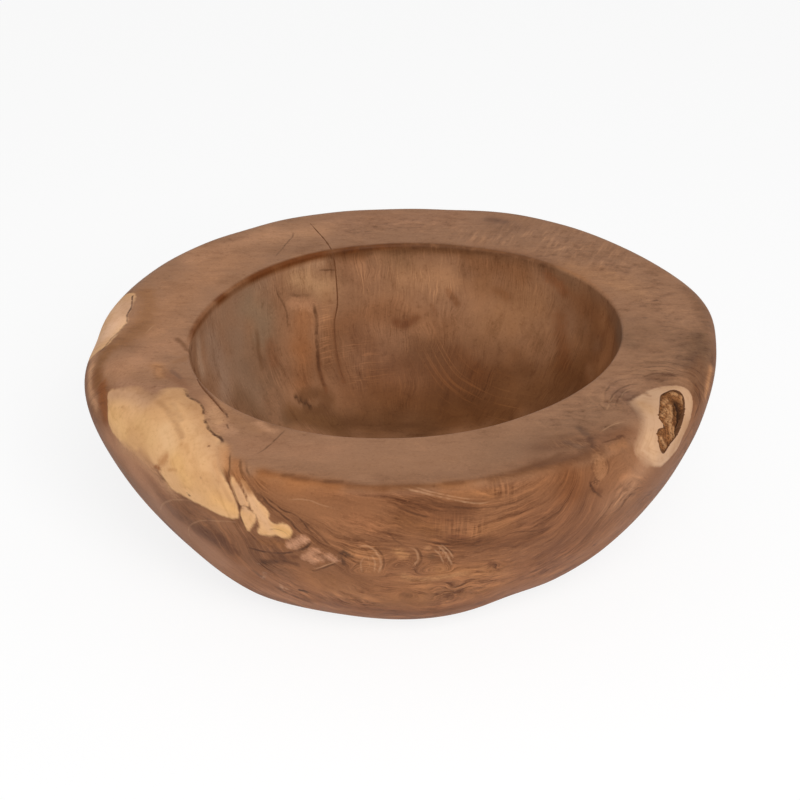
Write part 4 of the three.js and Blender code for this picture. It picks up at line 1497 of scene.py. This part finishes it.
class RootWood(Figure):
    """Brown heartwood with its figure, pale sapwood, the pale collar of the knot, and painted shade in the
    knot's pit; the ground colours also carry some painted shade and light.
    """

    def __init__(self):
        super().__init__("root_wood")
        self.on_wall = self.smooth(self.field("below_edge"), -1.5, 2.0)
        self.in_hollow = self.smooth(self.field("past_mouth"), -0.5, 1.0)
        self.on_rim = self.less(self.rest(self.on_wall), self.in_hollow)
        self.cloud = self.noise(self.place, 0.05, 4.0, 0.6)
        self.spots = self.noise(self.place, 0.4, 3.0, 0.6)
        self.fleck = self.noise(self.place, 0.9, 3.0, 0.65)
        self.wander = self.less(self.noise(self.place, 0.06, 2.0), 0.5)
        self.ripple = self.less(self.noise(self.place, 0.22, 2.0), 0.5)
        self.patchy = self.smooth(self.noise(self.place, 0.045, 3.0), 0.36, 0.62)
        self.calm = self.rest(self.times(self.field("quiet"), 0.55))
        self.uneven = self.times(self.less(self.spots, 0.5), 1.2)
        self.frayed = self.add(self.times(self.uneven, 1.3), self.less(self.fleck, 0.5))
        self.around = self.field("around")
        self.ring = self.add(self.field("ring"), self.times(self.wander, 3.5), self.ripple)
        self.lines = self.grain((self.ring, 0.55), (self.around, 0.05), 5.0, 3.0, 0.6)
        self.fibre = self.grain((self.ring, 2.0), (self.around, 0.16), 9.0, 3.0, 0.6)

    def wall_shades(self):
        """How dark and how pale the wall's figure is: growth lines, pores, ribbons and arches."""
        broad = self.grain((self.ring, 0.15), (self.around, 0.03), 0.0, 3.0)
        pores = self.grain((self.ring, 4.0), (self.around, 0.5), 2.0, 1.0)
        ribbon = self.grain((self.around, 0.8), (self.ring, 0.1), 4.0)
        arches = self.math("SINE", self.times(self.ring, 3.3))
        quiet = self.rest(self.times(self.field("quiet"), 0.85))
        loud = self.times(quiet, self.add(0.45, self.times(self.patchy, 0.65)))
        loud = self.times(loud, self.add(1.0, self.times(self.field("busy"), 0.5)))
        shown = self.times(self.on_wall, loud)
        dark = self.add(
            self.rise(broad, 0.45, 0.68, 0.5),
            self.rise(self.lines, 0.5, 0.7, 0.44),
            self.rise(self.fibre, 0.5, 0.72, 0.4),
            self.rise(pores, 0.6, 0.74, 0.22),
            self.on_mark("ribbon", ribbon, 0.5, 0.66, 0.4),
        )
        pale = self.add(
            self.smooth(self.rest(self.lines), 0.5, 0.7),
            self.rise(self.rest(self.fibre), 0.5, 0.72, 0.85),
        )
        dark = self.add(self.times(dark, shown), self.on_mark("arched", arches, 0.0, 1.0, 0.26))
        pale = self.add(
            self.times(pale, self.times(shown, 0.6)),
            self.on_mark("ribbon", self.rest(ribbon), 0.5, 0.64, 0.5),
            self.on_mark("arched", self.times(arches, -1.0), 0.2, 1.0, 0.32),
        )
        return dark, pale

    def hollow_shades(self):
        """How dark and how pale the hollow's figure is: streaks, tool marks and the grain of the floor."""
        down = self.field("past_mouth")
        turn = self.add(self.field("hollow_around"), self.times(self.wander, 8.0))
        streaks = self.grain((turn, 0.13), (down, 0.04), 3.0, 3.0, 0.6)
        scratches = self.grain((turn, 1.1), (down, 0.05), 7.0, 2.0, 0.6)
        scrapes = self.grain((turn, 0.08), (down, 1.3), 1.0)
        sanding = self.grain((self.field("sanding_side"), 0.75), (turn, 0.02), 6.0)
        fine = self.grain((turn, 2.0), (down, 0.1), 11.0)
        floor_grain = self.noise(self.scaled(self.place, (0.05, 0.2, 0.2)), 1.0, 3.0, 0.6)
        on_floor = self.smooth(down, 78.0, 112.0)
        shown = self.times(self.in_hollow, self.calm)
        dark = self.add(
            self.rise(streaks, 0.5, 0.72, 0.35),
            self.times(self.rise(scratches, 0.52, 0.74, 0.25), self.patchy),
            self.rise(self.cloud, 0.5, 0.7, 0.2),
            self.times(self.rise(fine, 0.5, 0.7, 0.24), self.patchy),
        )
        dark = self.mix(on_floor, dark, self.rise(floor_grain, 0.48, 0.7, 0.5))
        dark = self.add(dark, self.rise(self.spots, 0.56, 0.75, 0.25))
        scratched = self.add(self.times(self.patchy, 0.25), self.times(self.field("scratches"), 0.45))
        pale = self.add(
            self.rise(self.rest(scratches), 0.52, 0.68, scratched),
            self.rise(self.rest(self.cloud), 0.5, 0.68, 0.25),
            self.times(self.rise(self.rest(fine), 0.5, 0.7, 0.24), self.patchy),
        )
        pale = self.mix(on_floor, pale, self.rise(self.rest(floor_grain), 0.5, 0.7, 0.3))
        pale = self.add(
            pale,
            self.on_mark("scrapes", scrapes, 0.52, 0.66, 0.6),
            self.on_mark("sanding", sanding, 0.55, 0.68, 0.8),
        )
        return self.times(dark, shown), self.times(pale, shown)

    def rim_shades(self):
        """How dark and how pale the rim's figure is: grain, mottle, tool marks and the knot's swirl."""
        fine = self.noise(self.scaled(self.place, (0.09, 0.2, 0.3)), 1.0, 4.0, 0.65)
        fibre = self.noise(self.scaled(self.place, (0.16, 0.8, 0.4)), 1.0, 3.0, 0.6)
        mottle = self.noise(self.scaled(self.place, (0.16, 0.26, 0.3)), 1.0, 4.0, 0.65)
        hatching = self.noise(self.scaled(self.place, (0.4, 0.06, 0.3), HATCHING_TURN), 1.0, 3.0, 0.6)
        round_knot = self.add(self.times(self.field("collar"), 0.45), self.times(self.ripple, 1.2))
        swirl = self.noise(self.vector(round_knot, self.times(self.around, 0.04), 7.0))
        shown = self.times(self.on_rim, self.calm)
        dark = self.add(
            self.rise(fine, 0.5, 0.72, 0.22),
            self.rise(self.cloud, 0.5, 0.72, 0.2),
            self.on_mark("hatching", hatching, 0.5, 0.68, 0.36),
            self.on_mark("mottle", mottle, 0.5, 0.68, 0.5),
            self.on_mark("swirl", swirl, 0.5, 0.66, 0.5),
            self.times(self.rise(fibre, 0.5, 0.7, 0.14), self.patchy),
            self.rise(self.spots, 0.56, 0.75, 0.25),
        )
        pale = self.add(
            self.rise(self.rest(fine), 0.52, 0.75, 0.25),
            self.on_mark("hatching", self.rest(hatching), 0.5, 0.66, 0.6),
            self.on_mark("mottle", self.rest(mottle), 0.5, 0.68, 0.45),
            self.on_mark("swirl", self.rest(swirl), 0.5, 0.66, 0.4),
            self.times(self.rise(self.rest(fibre), 0.5, 0.7, 0.16), self.patchy),
        )
        return self.times(dark, shown), self.times(pale, shown)

    def stained_ground(self, ground, stain, reach, low, high):
        """A ground colour with its frayed stains."""
        share = self.rest(self.smooth(self.add(self.field(reach), self.frayed), low, high))
        share = self.times(share, self.field(stain, "Alpha"))
        return self.mix(share, self.field(ground, "Color"), self.field(stain, "Color"))

    def heartwood(self, dark, pale):
        ground = self.stained_ground("ground", "stain_ground", "stain_reach", 0.15, 1.6)
        colour = self.shaded(dark, ground, DARK_FIGURE)
        return self.mix(pale, colour, self.mix(1.0, ground, PALE_FIGURE, "MULTIPLY"))

    def sapwood(self):
        ground = self.stained_ground(
            "sapwood_ground", "sapwood_stain_ground", "sapwood_stain_reach", 0.2, 1.7
        )
        tan = self.mix(1.0, ground, SAPWOOD_TAN, "MULTIPLY")
        colour = self.mix(self.rise(self.cloud, 0.4, 0.7, 0.5), ground, tan)
        colour = self.mix(self.rise(self.spots, 0.5, 0.72, 0.42), colour, tan)
        lines = self.add(
            self.rise(self.lines, 0.5, 0.72, 0.45),
            self.rise(self.fibre, 0.5, 0.72, 0.2),
            self.rise(self.fleck, 0.52, 0.75, 0.36),
        )
        collar_rings = self.grain((self.field("collar"), 0.7), (self.around, 0.03), 8.0)
        in_collar = self.rest(self.smooth(self.field("collar"), 1.0, 3.0))
        lines = self.add(
            self.times(lines, self.rest(in_collar)),
            self.times(self.rise(collar_rings, 0.5, 0.7, 0.4), in_collar),
        )
        return self.shaded(lines, colour, SAPWOOD_LINES)

    def in_sapwood(self):
        """1 on the sapwood and the collar, with an uneven edge that is soft in places."""
        nearest = self.field("flank")
        for name in ("streak", "tongues", "collar"):
            nearest = self.math("MINIMUM", nearest, self.field(name))
        softness = self.add(1.0, self.times(self.field("soft_edge"), 5.0))
        edge = self.math("DIVIDE", self.add(nearest, self.uneven), softness)
        return self.rest(self.smooth(edge, -0.7, 0.7))

    def painted_pit_shade(self):
        """1 where painted shade darkens the pit of the knot and the walls and floors of the beds."""
        pit = self.add(self.field("core"), self.times(self.uneven, 0.3))
        sunken = self.smooth(self.field("sunken"), 0.0, 0.05)
        return self.math("MAXIMUM", self.rest(self.smooth(pit, 0.0, 0.4)), sunken)

    def drawn_lines(self, colour):
        """A colour with the hairlines and the fine pale lines over it, broken in places."""
        broken = self.add(0.3, self.rise(self.noise(self.place, 0.22, 3.0, 0.6), 0.3, 0.6, 0.7))
        for groups, waver, width, soft, strength, tone in (
            (HAIRLINES, 1.2, 0.15, 0.6, 1.0, HAIRLINE_TONE),
            (PALE_LINES, 0.8, 0.1, 0.5, 0.6, PALE_LINE_TONE),
        ):
            for group in groups:
                side = self.add(self.field(group + "_side"), self.times(self.ripple, waver))
                shown = self.times(self.band(side, width, soft), broken)
                shown = self.times(shown, self.times(self.field(group + "_strength"), strength))
                colour = self.mix(shown, colour, tone)
        return colour

    def made(self):
        wall_dark, wall_pale = self.wall_shades()
        hollow_dark, hollow_pale = self.hollow_shades()
        rim_dark, rim_pale = self.rim_shades()
        dark = self.add(wall_dark, hollow_dark, rim_dark, self.rise(self.fleck, 0.52, 0.75, 0.26))
        pale = self.add(wall_pale, hollow_pale, rim_pale, self.rise(self.rest(self.fleck), 0.54, 0.75, 0.3))
        colour = self.mix(self.in_sapwood(), self.heartwood(dark, pale), self.sapwood())
        # painted shade darkens the pit of the knot before the drawn lines go over
        colour = self.drawn_lines(self.mix(self.painted_pit_shade(), colour, PAINTED_PIT_SHADE))
        roughness = self.add(0.45, self.times(self.cloud, 0.25))
        relief = self.add(self.times(dark, -0.5), self.times(self.ripple, 0.4))
        return self.finish(colour, roughness, self.bump(relief, 0.3, 0.0005))


def dead_knot_wood():
    f = Figure("dead_knot_wood")
    coarse = f.noise(f.place, 0.6, 4.0, 0.65)
    speck = f.noise(f.place, 1.4)
    colour = f.mix(f.smooth(coarse, 0.35, 0.65), srgb(92, 54, 28), srgb(146, 95, 55))
    colour = f.mix(f.times(f.field("ridge"), 0.8), colour, srgb(196, 146, 100))
    colour = f.mix(f.rise(speck, 0.52, 0.68, 0.7), colour, srgb(66, 40, 22))
    colour = f.mix(f.times(f.field("char"), f.add(0.5, f.times(coarse, 0.8))), colour, srgb(34, 20, 12))
    return f.finish(colour, f.add(0.75, f.times(speck, 0.2)), f.bump(coarse, 0.6, 0.001))


def crack_filling():
    f = Figure("crack_filling")
    grain = f.noise(f.place, 0.8, 3.0)
    colour = f.mix(grain, srgb(92, 56, 34), srgb(128, 84, 54))
    return f.finish(colour, f.add(0.6, f.times(grain, 0.2)), f.bump(grain, 0.3, 0.0004))


# Crack fillings: a thin bead of filling along each crack, by a node tree

BACK_CRACK = [
    (309, 222), (317, 231), (325, 240), (331.6, 250.3), (334.5, 262), (336.7, 284), (337.4, 304.5),
    (334.5, 322), (335.2, 339.7), (337.4, 357), (341, 372), (346.2, 385),
]
LEFT_CRACK = [(197, 379), (202, 387), (209, 395), (217, 404), (224, 413)]

# Radius of each bead, and how deep its middle is sunk
BACK_BEAD = (0.6, 0.46)
LEFT_BEAD = (0.7, 0.52)

# Every bead: share of its length over which an end thins, how uneven it is, and the step along it
BEAD_TAPER = 0.1
BEAD_UNEVENNESS = 0.3
BEAD_STEP = 0.8
BEAD_INPUTS = {
    "Line": "NodeSocketGeometry",
    "Radius": "NodeSocketFloat",
    "Taper": "NodeSocketFloat",
    "Unevenness": "NodeSocketFloat",
    "Step": "NodeSocketFloat",
    "Seed": "NodeSocketFloat",
    "Filling": "NodeSocketMaterial",
}


def bead_tree():
    """Node tree that lays a bead of filling along a line: thinner at its ends, uneven between."""
    tree = bpy.data.node_groups.new("crack_bead", "GeometryNodeTree")
    sockets = {}
    for name, kind in BEAD_INPUTS.items():
        sockets[name] = tree.interface.new_socket(name, in_out="INPUT", socket_type=kind).identifier
    tree.interface.new_socket("Bead", in_out="OUTPUT", socket_type="NodeSocketGeometry")
    new, link = tree.nodes.new, tree.links.new
    given, result = new("NodeGroupInput"), new("NodeGroupOutput")
    resample = new("GeometryNodeResampleCurve")
    resample.mode = "LENGTH"
    link(given.outputs["Line"], resample.inputs["Curve"])
    link(given.outputs["Step"], resample.inputs["Length"])
    spline = new("GeometryNodeSplineParameter")
    ends = new("ShaderNodeMath")
    ends.operation = "PINGPONG"
    link(spline.outputs["Factor"], ends.inputs[0])
    ends.inputs[1].default_value = 0.5
    taper = new("ShaderNodeMapRange")
    link(ends.outputs[0], taper.inputs["Value"])
    link(given.outputs["Taper"], taper.inputs["From Max"])
    taper.inputs["To Min"].default_value = 0.8
    uneven = new("ShaderNodeTexNoise")
    uneven.noise_dimensions = "4D"
    uneven.inputs["Scale"].default_value = 260.0
    link(given.outputs["Seed"], uneven.inputs["W"])
    centred = new("ShaderNodeMapRange")
    link(uneven.outputs[0], centred.inputs["Value"])
    centred.inputs["To Min"].default_value = -1.0
    wobble = new("ShaderNodeMath")
    wobble.operation = "MULTIPLY_ADD"
    link(centred.outputs["Result"], wobble.inputs[0])
    link(given.outputs["Unevenness"], wobble.inputs[1])
    wobble.inputs[2].default_value = 1.0
    tapered, radius = new("ShaderNodeMath"), new("ShaderNodeMath")
    tapered.operation = radius.operation = "MULTIPLY"
    link(taper.outputs["Result"], tapered.inputs[0])
    link(wobble.outputs[0], tapered.inputs[1])
    link(tapered.outputs[0], radius.inputs[0])
    link(given.outputs["Radius"], radius.inputs[1])
    section = new("GeometryNodeCurvePrimitiveCircle")
    section.inputs["Resolution"].default_value = 8
    section.inputs["Radius"].default_value = 1.0
    sweep = new("GeometryNodeCurveToMesh")
    sweep.inputs["Fill Caps"].default_value = True
    link(resample.outputs["Curve"], sweep.inputs["Curve"])
    link(section.outputs["Curve"], sweep.inputs["Profile Curve"])
    link(radius.outputs[0], sweep.inputs["Scale"])
    realize = new("GeometryNodeRealizeInstances")
    paint = new("GeometryNodeSetMaterial")
    link(sweep.outputs["Mesh"], realize.inputs["Geometry"])
    link(realize.outputs["Geometry"], paint.inputs["Geometry"])
    link(given.outputs["Filling"], paint.inputs["Material"])
    link(paint.outputs["Geometry"], result.inputs["Bead"])
    return tree, sockets


def crack_bead(name, pixels, bead, seed, material):
    """A bead of filling along a crack, sunk so that only its crown shows."""
    radius, sink = bead
    tree, sockets = bead_nodes
    line, line_normals = seen_path(pixels)
    curve = bpy.data.curves.new(name + "_line", "CURVE")
    curve.dimensions = "3D"
    spline = curve.splines.new("POLY")
    spline.points.add(len(line) - 1)
    sunk = (line - line_normals * sink) * MM
    weighted = np.column_stack([sunk, np.ones(len(sunk))]).astype(np.float32)
    spline.points.foreach_set("co", weighted.reshape(-1))
    source = placed(name + "_line", curve)
    modifier = source.modifiers.new("bead", "NODES")
    modifier.node_group = tree
    values = {
        "Radius": radius * MM,
        "Taper": BEAD_TAPER,
        "Unevenness": BEAD_UNEVENNESS,
        "Step": BEAD_STEP * MM,
        "Seed": seed,
        "Filling": material,
    }
    for socket_name, value in values.items():
        modifier[sockets[socket_name]] = value
    evaluated = source.evaluated_get(bpy.context.evaluated_depsgraph_get())
    mesh = bpy.data.meshes.new_from_object(evaluated)
    mesh.name = name
    bpy.data.objects.remove(source)
    return placed(name, mesh)


# Pieces

in_flank, in_streak = quads_inside(flank), quads_inside(streak)
in_core = quads_inside(core)
in_knot = quads_inside(collar) | in_core
flank_out, streak_out, knot_out = (direction(*inlay) for inlay in (FLANK, STREAK, KNOT))

wood = RootWood().made()
dead_wood = dead_knot_wood()
filling = crack_filling()
bead_nodes = bead_tree()

bowl_wood = grid_piece(
    "bowl_wood",
    ~(in_flank | in_streak | in_knot),
    sunk=[
        (in_flank, flank_out, FLANK_DEPTH),
        (in_streak, streak_out, STREAK_DEPTH),
        (in_knot, knot_out, KNOT_DEPTH),
    ],
    poles=True,
)
flank_wood = grid_piece("flank_sapwood", in_flank, back=(in_flank, flank_out, FLANK_DEPTH))
streak_wood = grid_piece("streak_sapwood", in_streak, back=(in_streak, streak_out, STREAK_DEPTH))
collar_wood = grid_piece(
    "knot_collar_wood",
    in_knot & ~in_core,
    sunk=[(in_core, knot_out, KNOT_PIT)],
    back=(in_knot, knot_out, KNOT_DEPTH),
)
core_wood = knot_core_piece()
back_filling = crack_bead("back_crack_filling", BACK_CRACK, BACK_BEAD, 1.0, filling)
left_filling = crack_bead("left_crack_filling", LEFT_CRACK, LEFT_BEAD, 2.0, filling)

for piece, material, node, slot in (
    (bowl_wood, wood, "bowl_body", "heartwood"),
    (flank_wood, wood, "sapwood_flank", "sapwood"),
    (streak_wood, wood, "sapwood_streak", "sapwood"),
    (collar_wood, wood, "knot_collar", "knot_ring"),
    (core_wood, dead_wood, "knot_core", "knot_heart"),
    (back_filling, filling, "crack_filling_back", "crack_filling"),
    (left_filling, filling, "crack_filling_left", "crack_filling"),
):
    if not piece.data.materials:
        piece.data.materials.append(material)
    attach(piece, "root")
    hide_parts(node)

# Floor, light and camera

# Half the floor's width and its drop below the foot, in metres; its shade, and the glow that lightens it
FLOOR_REACH = 8.0
FLOOR_DROP = 0.0002
FLOOR_SHADE = 0.92
FLOOR_GLOW = 1.04
FLOOR_GLOW_SHARE = 0.8
WORLD_STRENGTH = 0.42

# The soft box, in metres and watts: its place, what it faces, its size and its power
KEY_SPOT = (0.32, -1.3, 1.1)
KEY_TARGET = (0, 0, 0.05)
KEY_SIZE = 0.9
KEY_POWER = 22.0

SENSOR_WIDTH = 36.0
SIGHT_END = 60.0


def shows_plain(tree):
    """1 for rays that come straight, or by a reflection or through glass, from the camera."""
    path = tree.nodes.new("ShaderNodeLightPath")
    total = path.outputs["Is Camera Ray"]
    for name in ("Is Glossy Ray", "Is Transmission Ray"):
        node = tree.nodes.new("ShaderNodeMath")
        node.operation = "MAXIMUM"
        tree.links.new(total, node.inputs[0])
        tree.links.new(path.outputs[name], node.inputs[1])
        total = node.outputs[0]
    return total


def white_world():
    world = bpy.data.worlds.new("white_room")
    bpy.context.scene.world = world
    world.use_nodes = True
    tree = world.node_tree
    light = tree.nodes["Background"]
    light.inputs["Color"].default_value = (1, 1, 1, 1)
    light.inputs["Strength"].default_value = WORLD_STRENGTH
    plain = tree.nodes.new("ShaderNodeBackground")
    plain.inputs["Color"].default_value = (1, 1, 1, 1)
    plain.inputs["Strength"].default_value = 1.0
    choose = tree.nodes.new("ShaderNodeMixShader")
    tree.links.new(shows_plain(tree), choose.inputs[0])
    tree.links.new(light.outputs[0], choose.inputs[1])
    tree.links.new(plain.outputs[0], choose.inputs[2])
    tree.links.new(choose.outputs[0], tree.nodes["World Output"].inputs["Surface"])


def white_floor():
    mesh = bpy.data.meshes.new("floor")
    signs = ((-1, -1), (1, -1), (1, 1), (-1, 1))
    corners = [(x * FLOOR_REACH, y * FLOOR_REACH, -FLOOR_DROP) for x, y in signs]
    mesh.from_pydata(corners, [], [(0, 1, 2, 3)])
    floor = placed("floor", mesh)
    material = bpy.data.materials.new("white_floor")
    material.use_nodes = True
    tree = material.node_tree
    tree.nodes.clear()
    diffuse = tree.nodes.new("ShaderNodeBsdfDiffuse")
    diffuse.inputs["Color"].default_value = (FLOOR_SHADE, FLOOR_SHADE, FLOOR_SHADE, 1)
    glow = tree.nodes.new("ShaderNodeEmission")
    glow.inputs["Strength"].default_value = FLOOR_GLOW
    share = tree.nodes.new("ShaderNodeMath")
    share.operation = "MULTIPLY"
    tree.links.new(shows_plain(tree), share.inputs[0])
    share.inputs[1].default_value = FLOOR_GLOW_SHARE
    choose = tree.nodes.new("ShaderNodeMixShader")
    output = tree.nodes.new("ShaderNodeOutputMaterial")
    tree.links.new(share.outputs[0], choose.inputs[0])
    tree.links.new(diffuse.outputs[0], choose.inputs[1])
    tree.links.new(glow.outputs[0], choose.inputs[2])
    tree.links.new(choose.outputs[0], output.inputs["Surface"])
    mesh.materials.append(material)


def soft_box():
    lamp = bpy.data.lights.new("key_soft_box", "AREA")
    lamp.shape = "SQUARE"
    lamp.size = KEY_SIZE
    lamp.energy = KEY_POWER
    light = placed("key_soft_box", lamp)
    light.location = KEY_SPOT
    light.rotation_euler = (Vector(KEY_TARGET) - Vector(KEY_SPOT)).to_track_quat("-Z", "Y").to_euler()


def photo_camera():
    lens = bpy.data.cameras.new("photo_camera")
    lens.sensor_width = SENSOR_WIDTH
    lens.lens = SENSOR_WIDTH * FOCAL_PIXELS / PHOTO_SIZE
    lens.clip_end = SIGHT_END
    camera = placed("photo_camera", lens)
    camera.location = Vector(camera_eye * MM)
    camera.rotation_euler = (math.radians(90 - CAMERA_PITCH), 0, 0)
    bpy.context.scene.camera = camera


white_world()
white_floor()
soft_box()
photo_camera()
bpy.context.scene.view_settings.view_transform = "Standard"
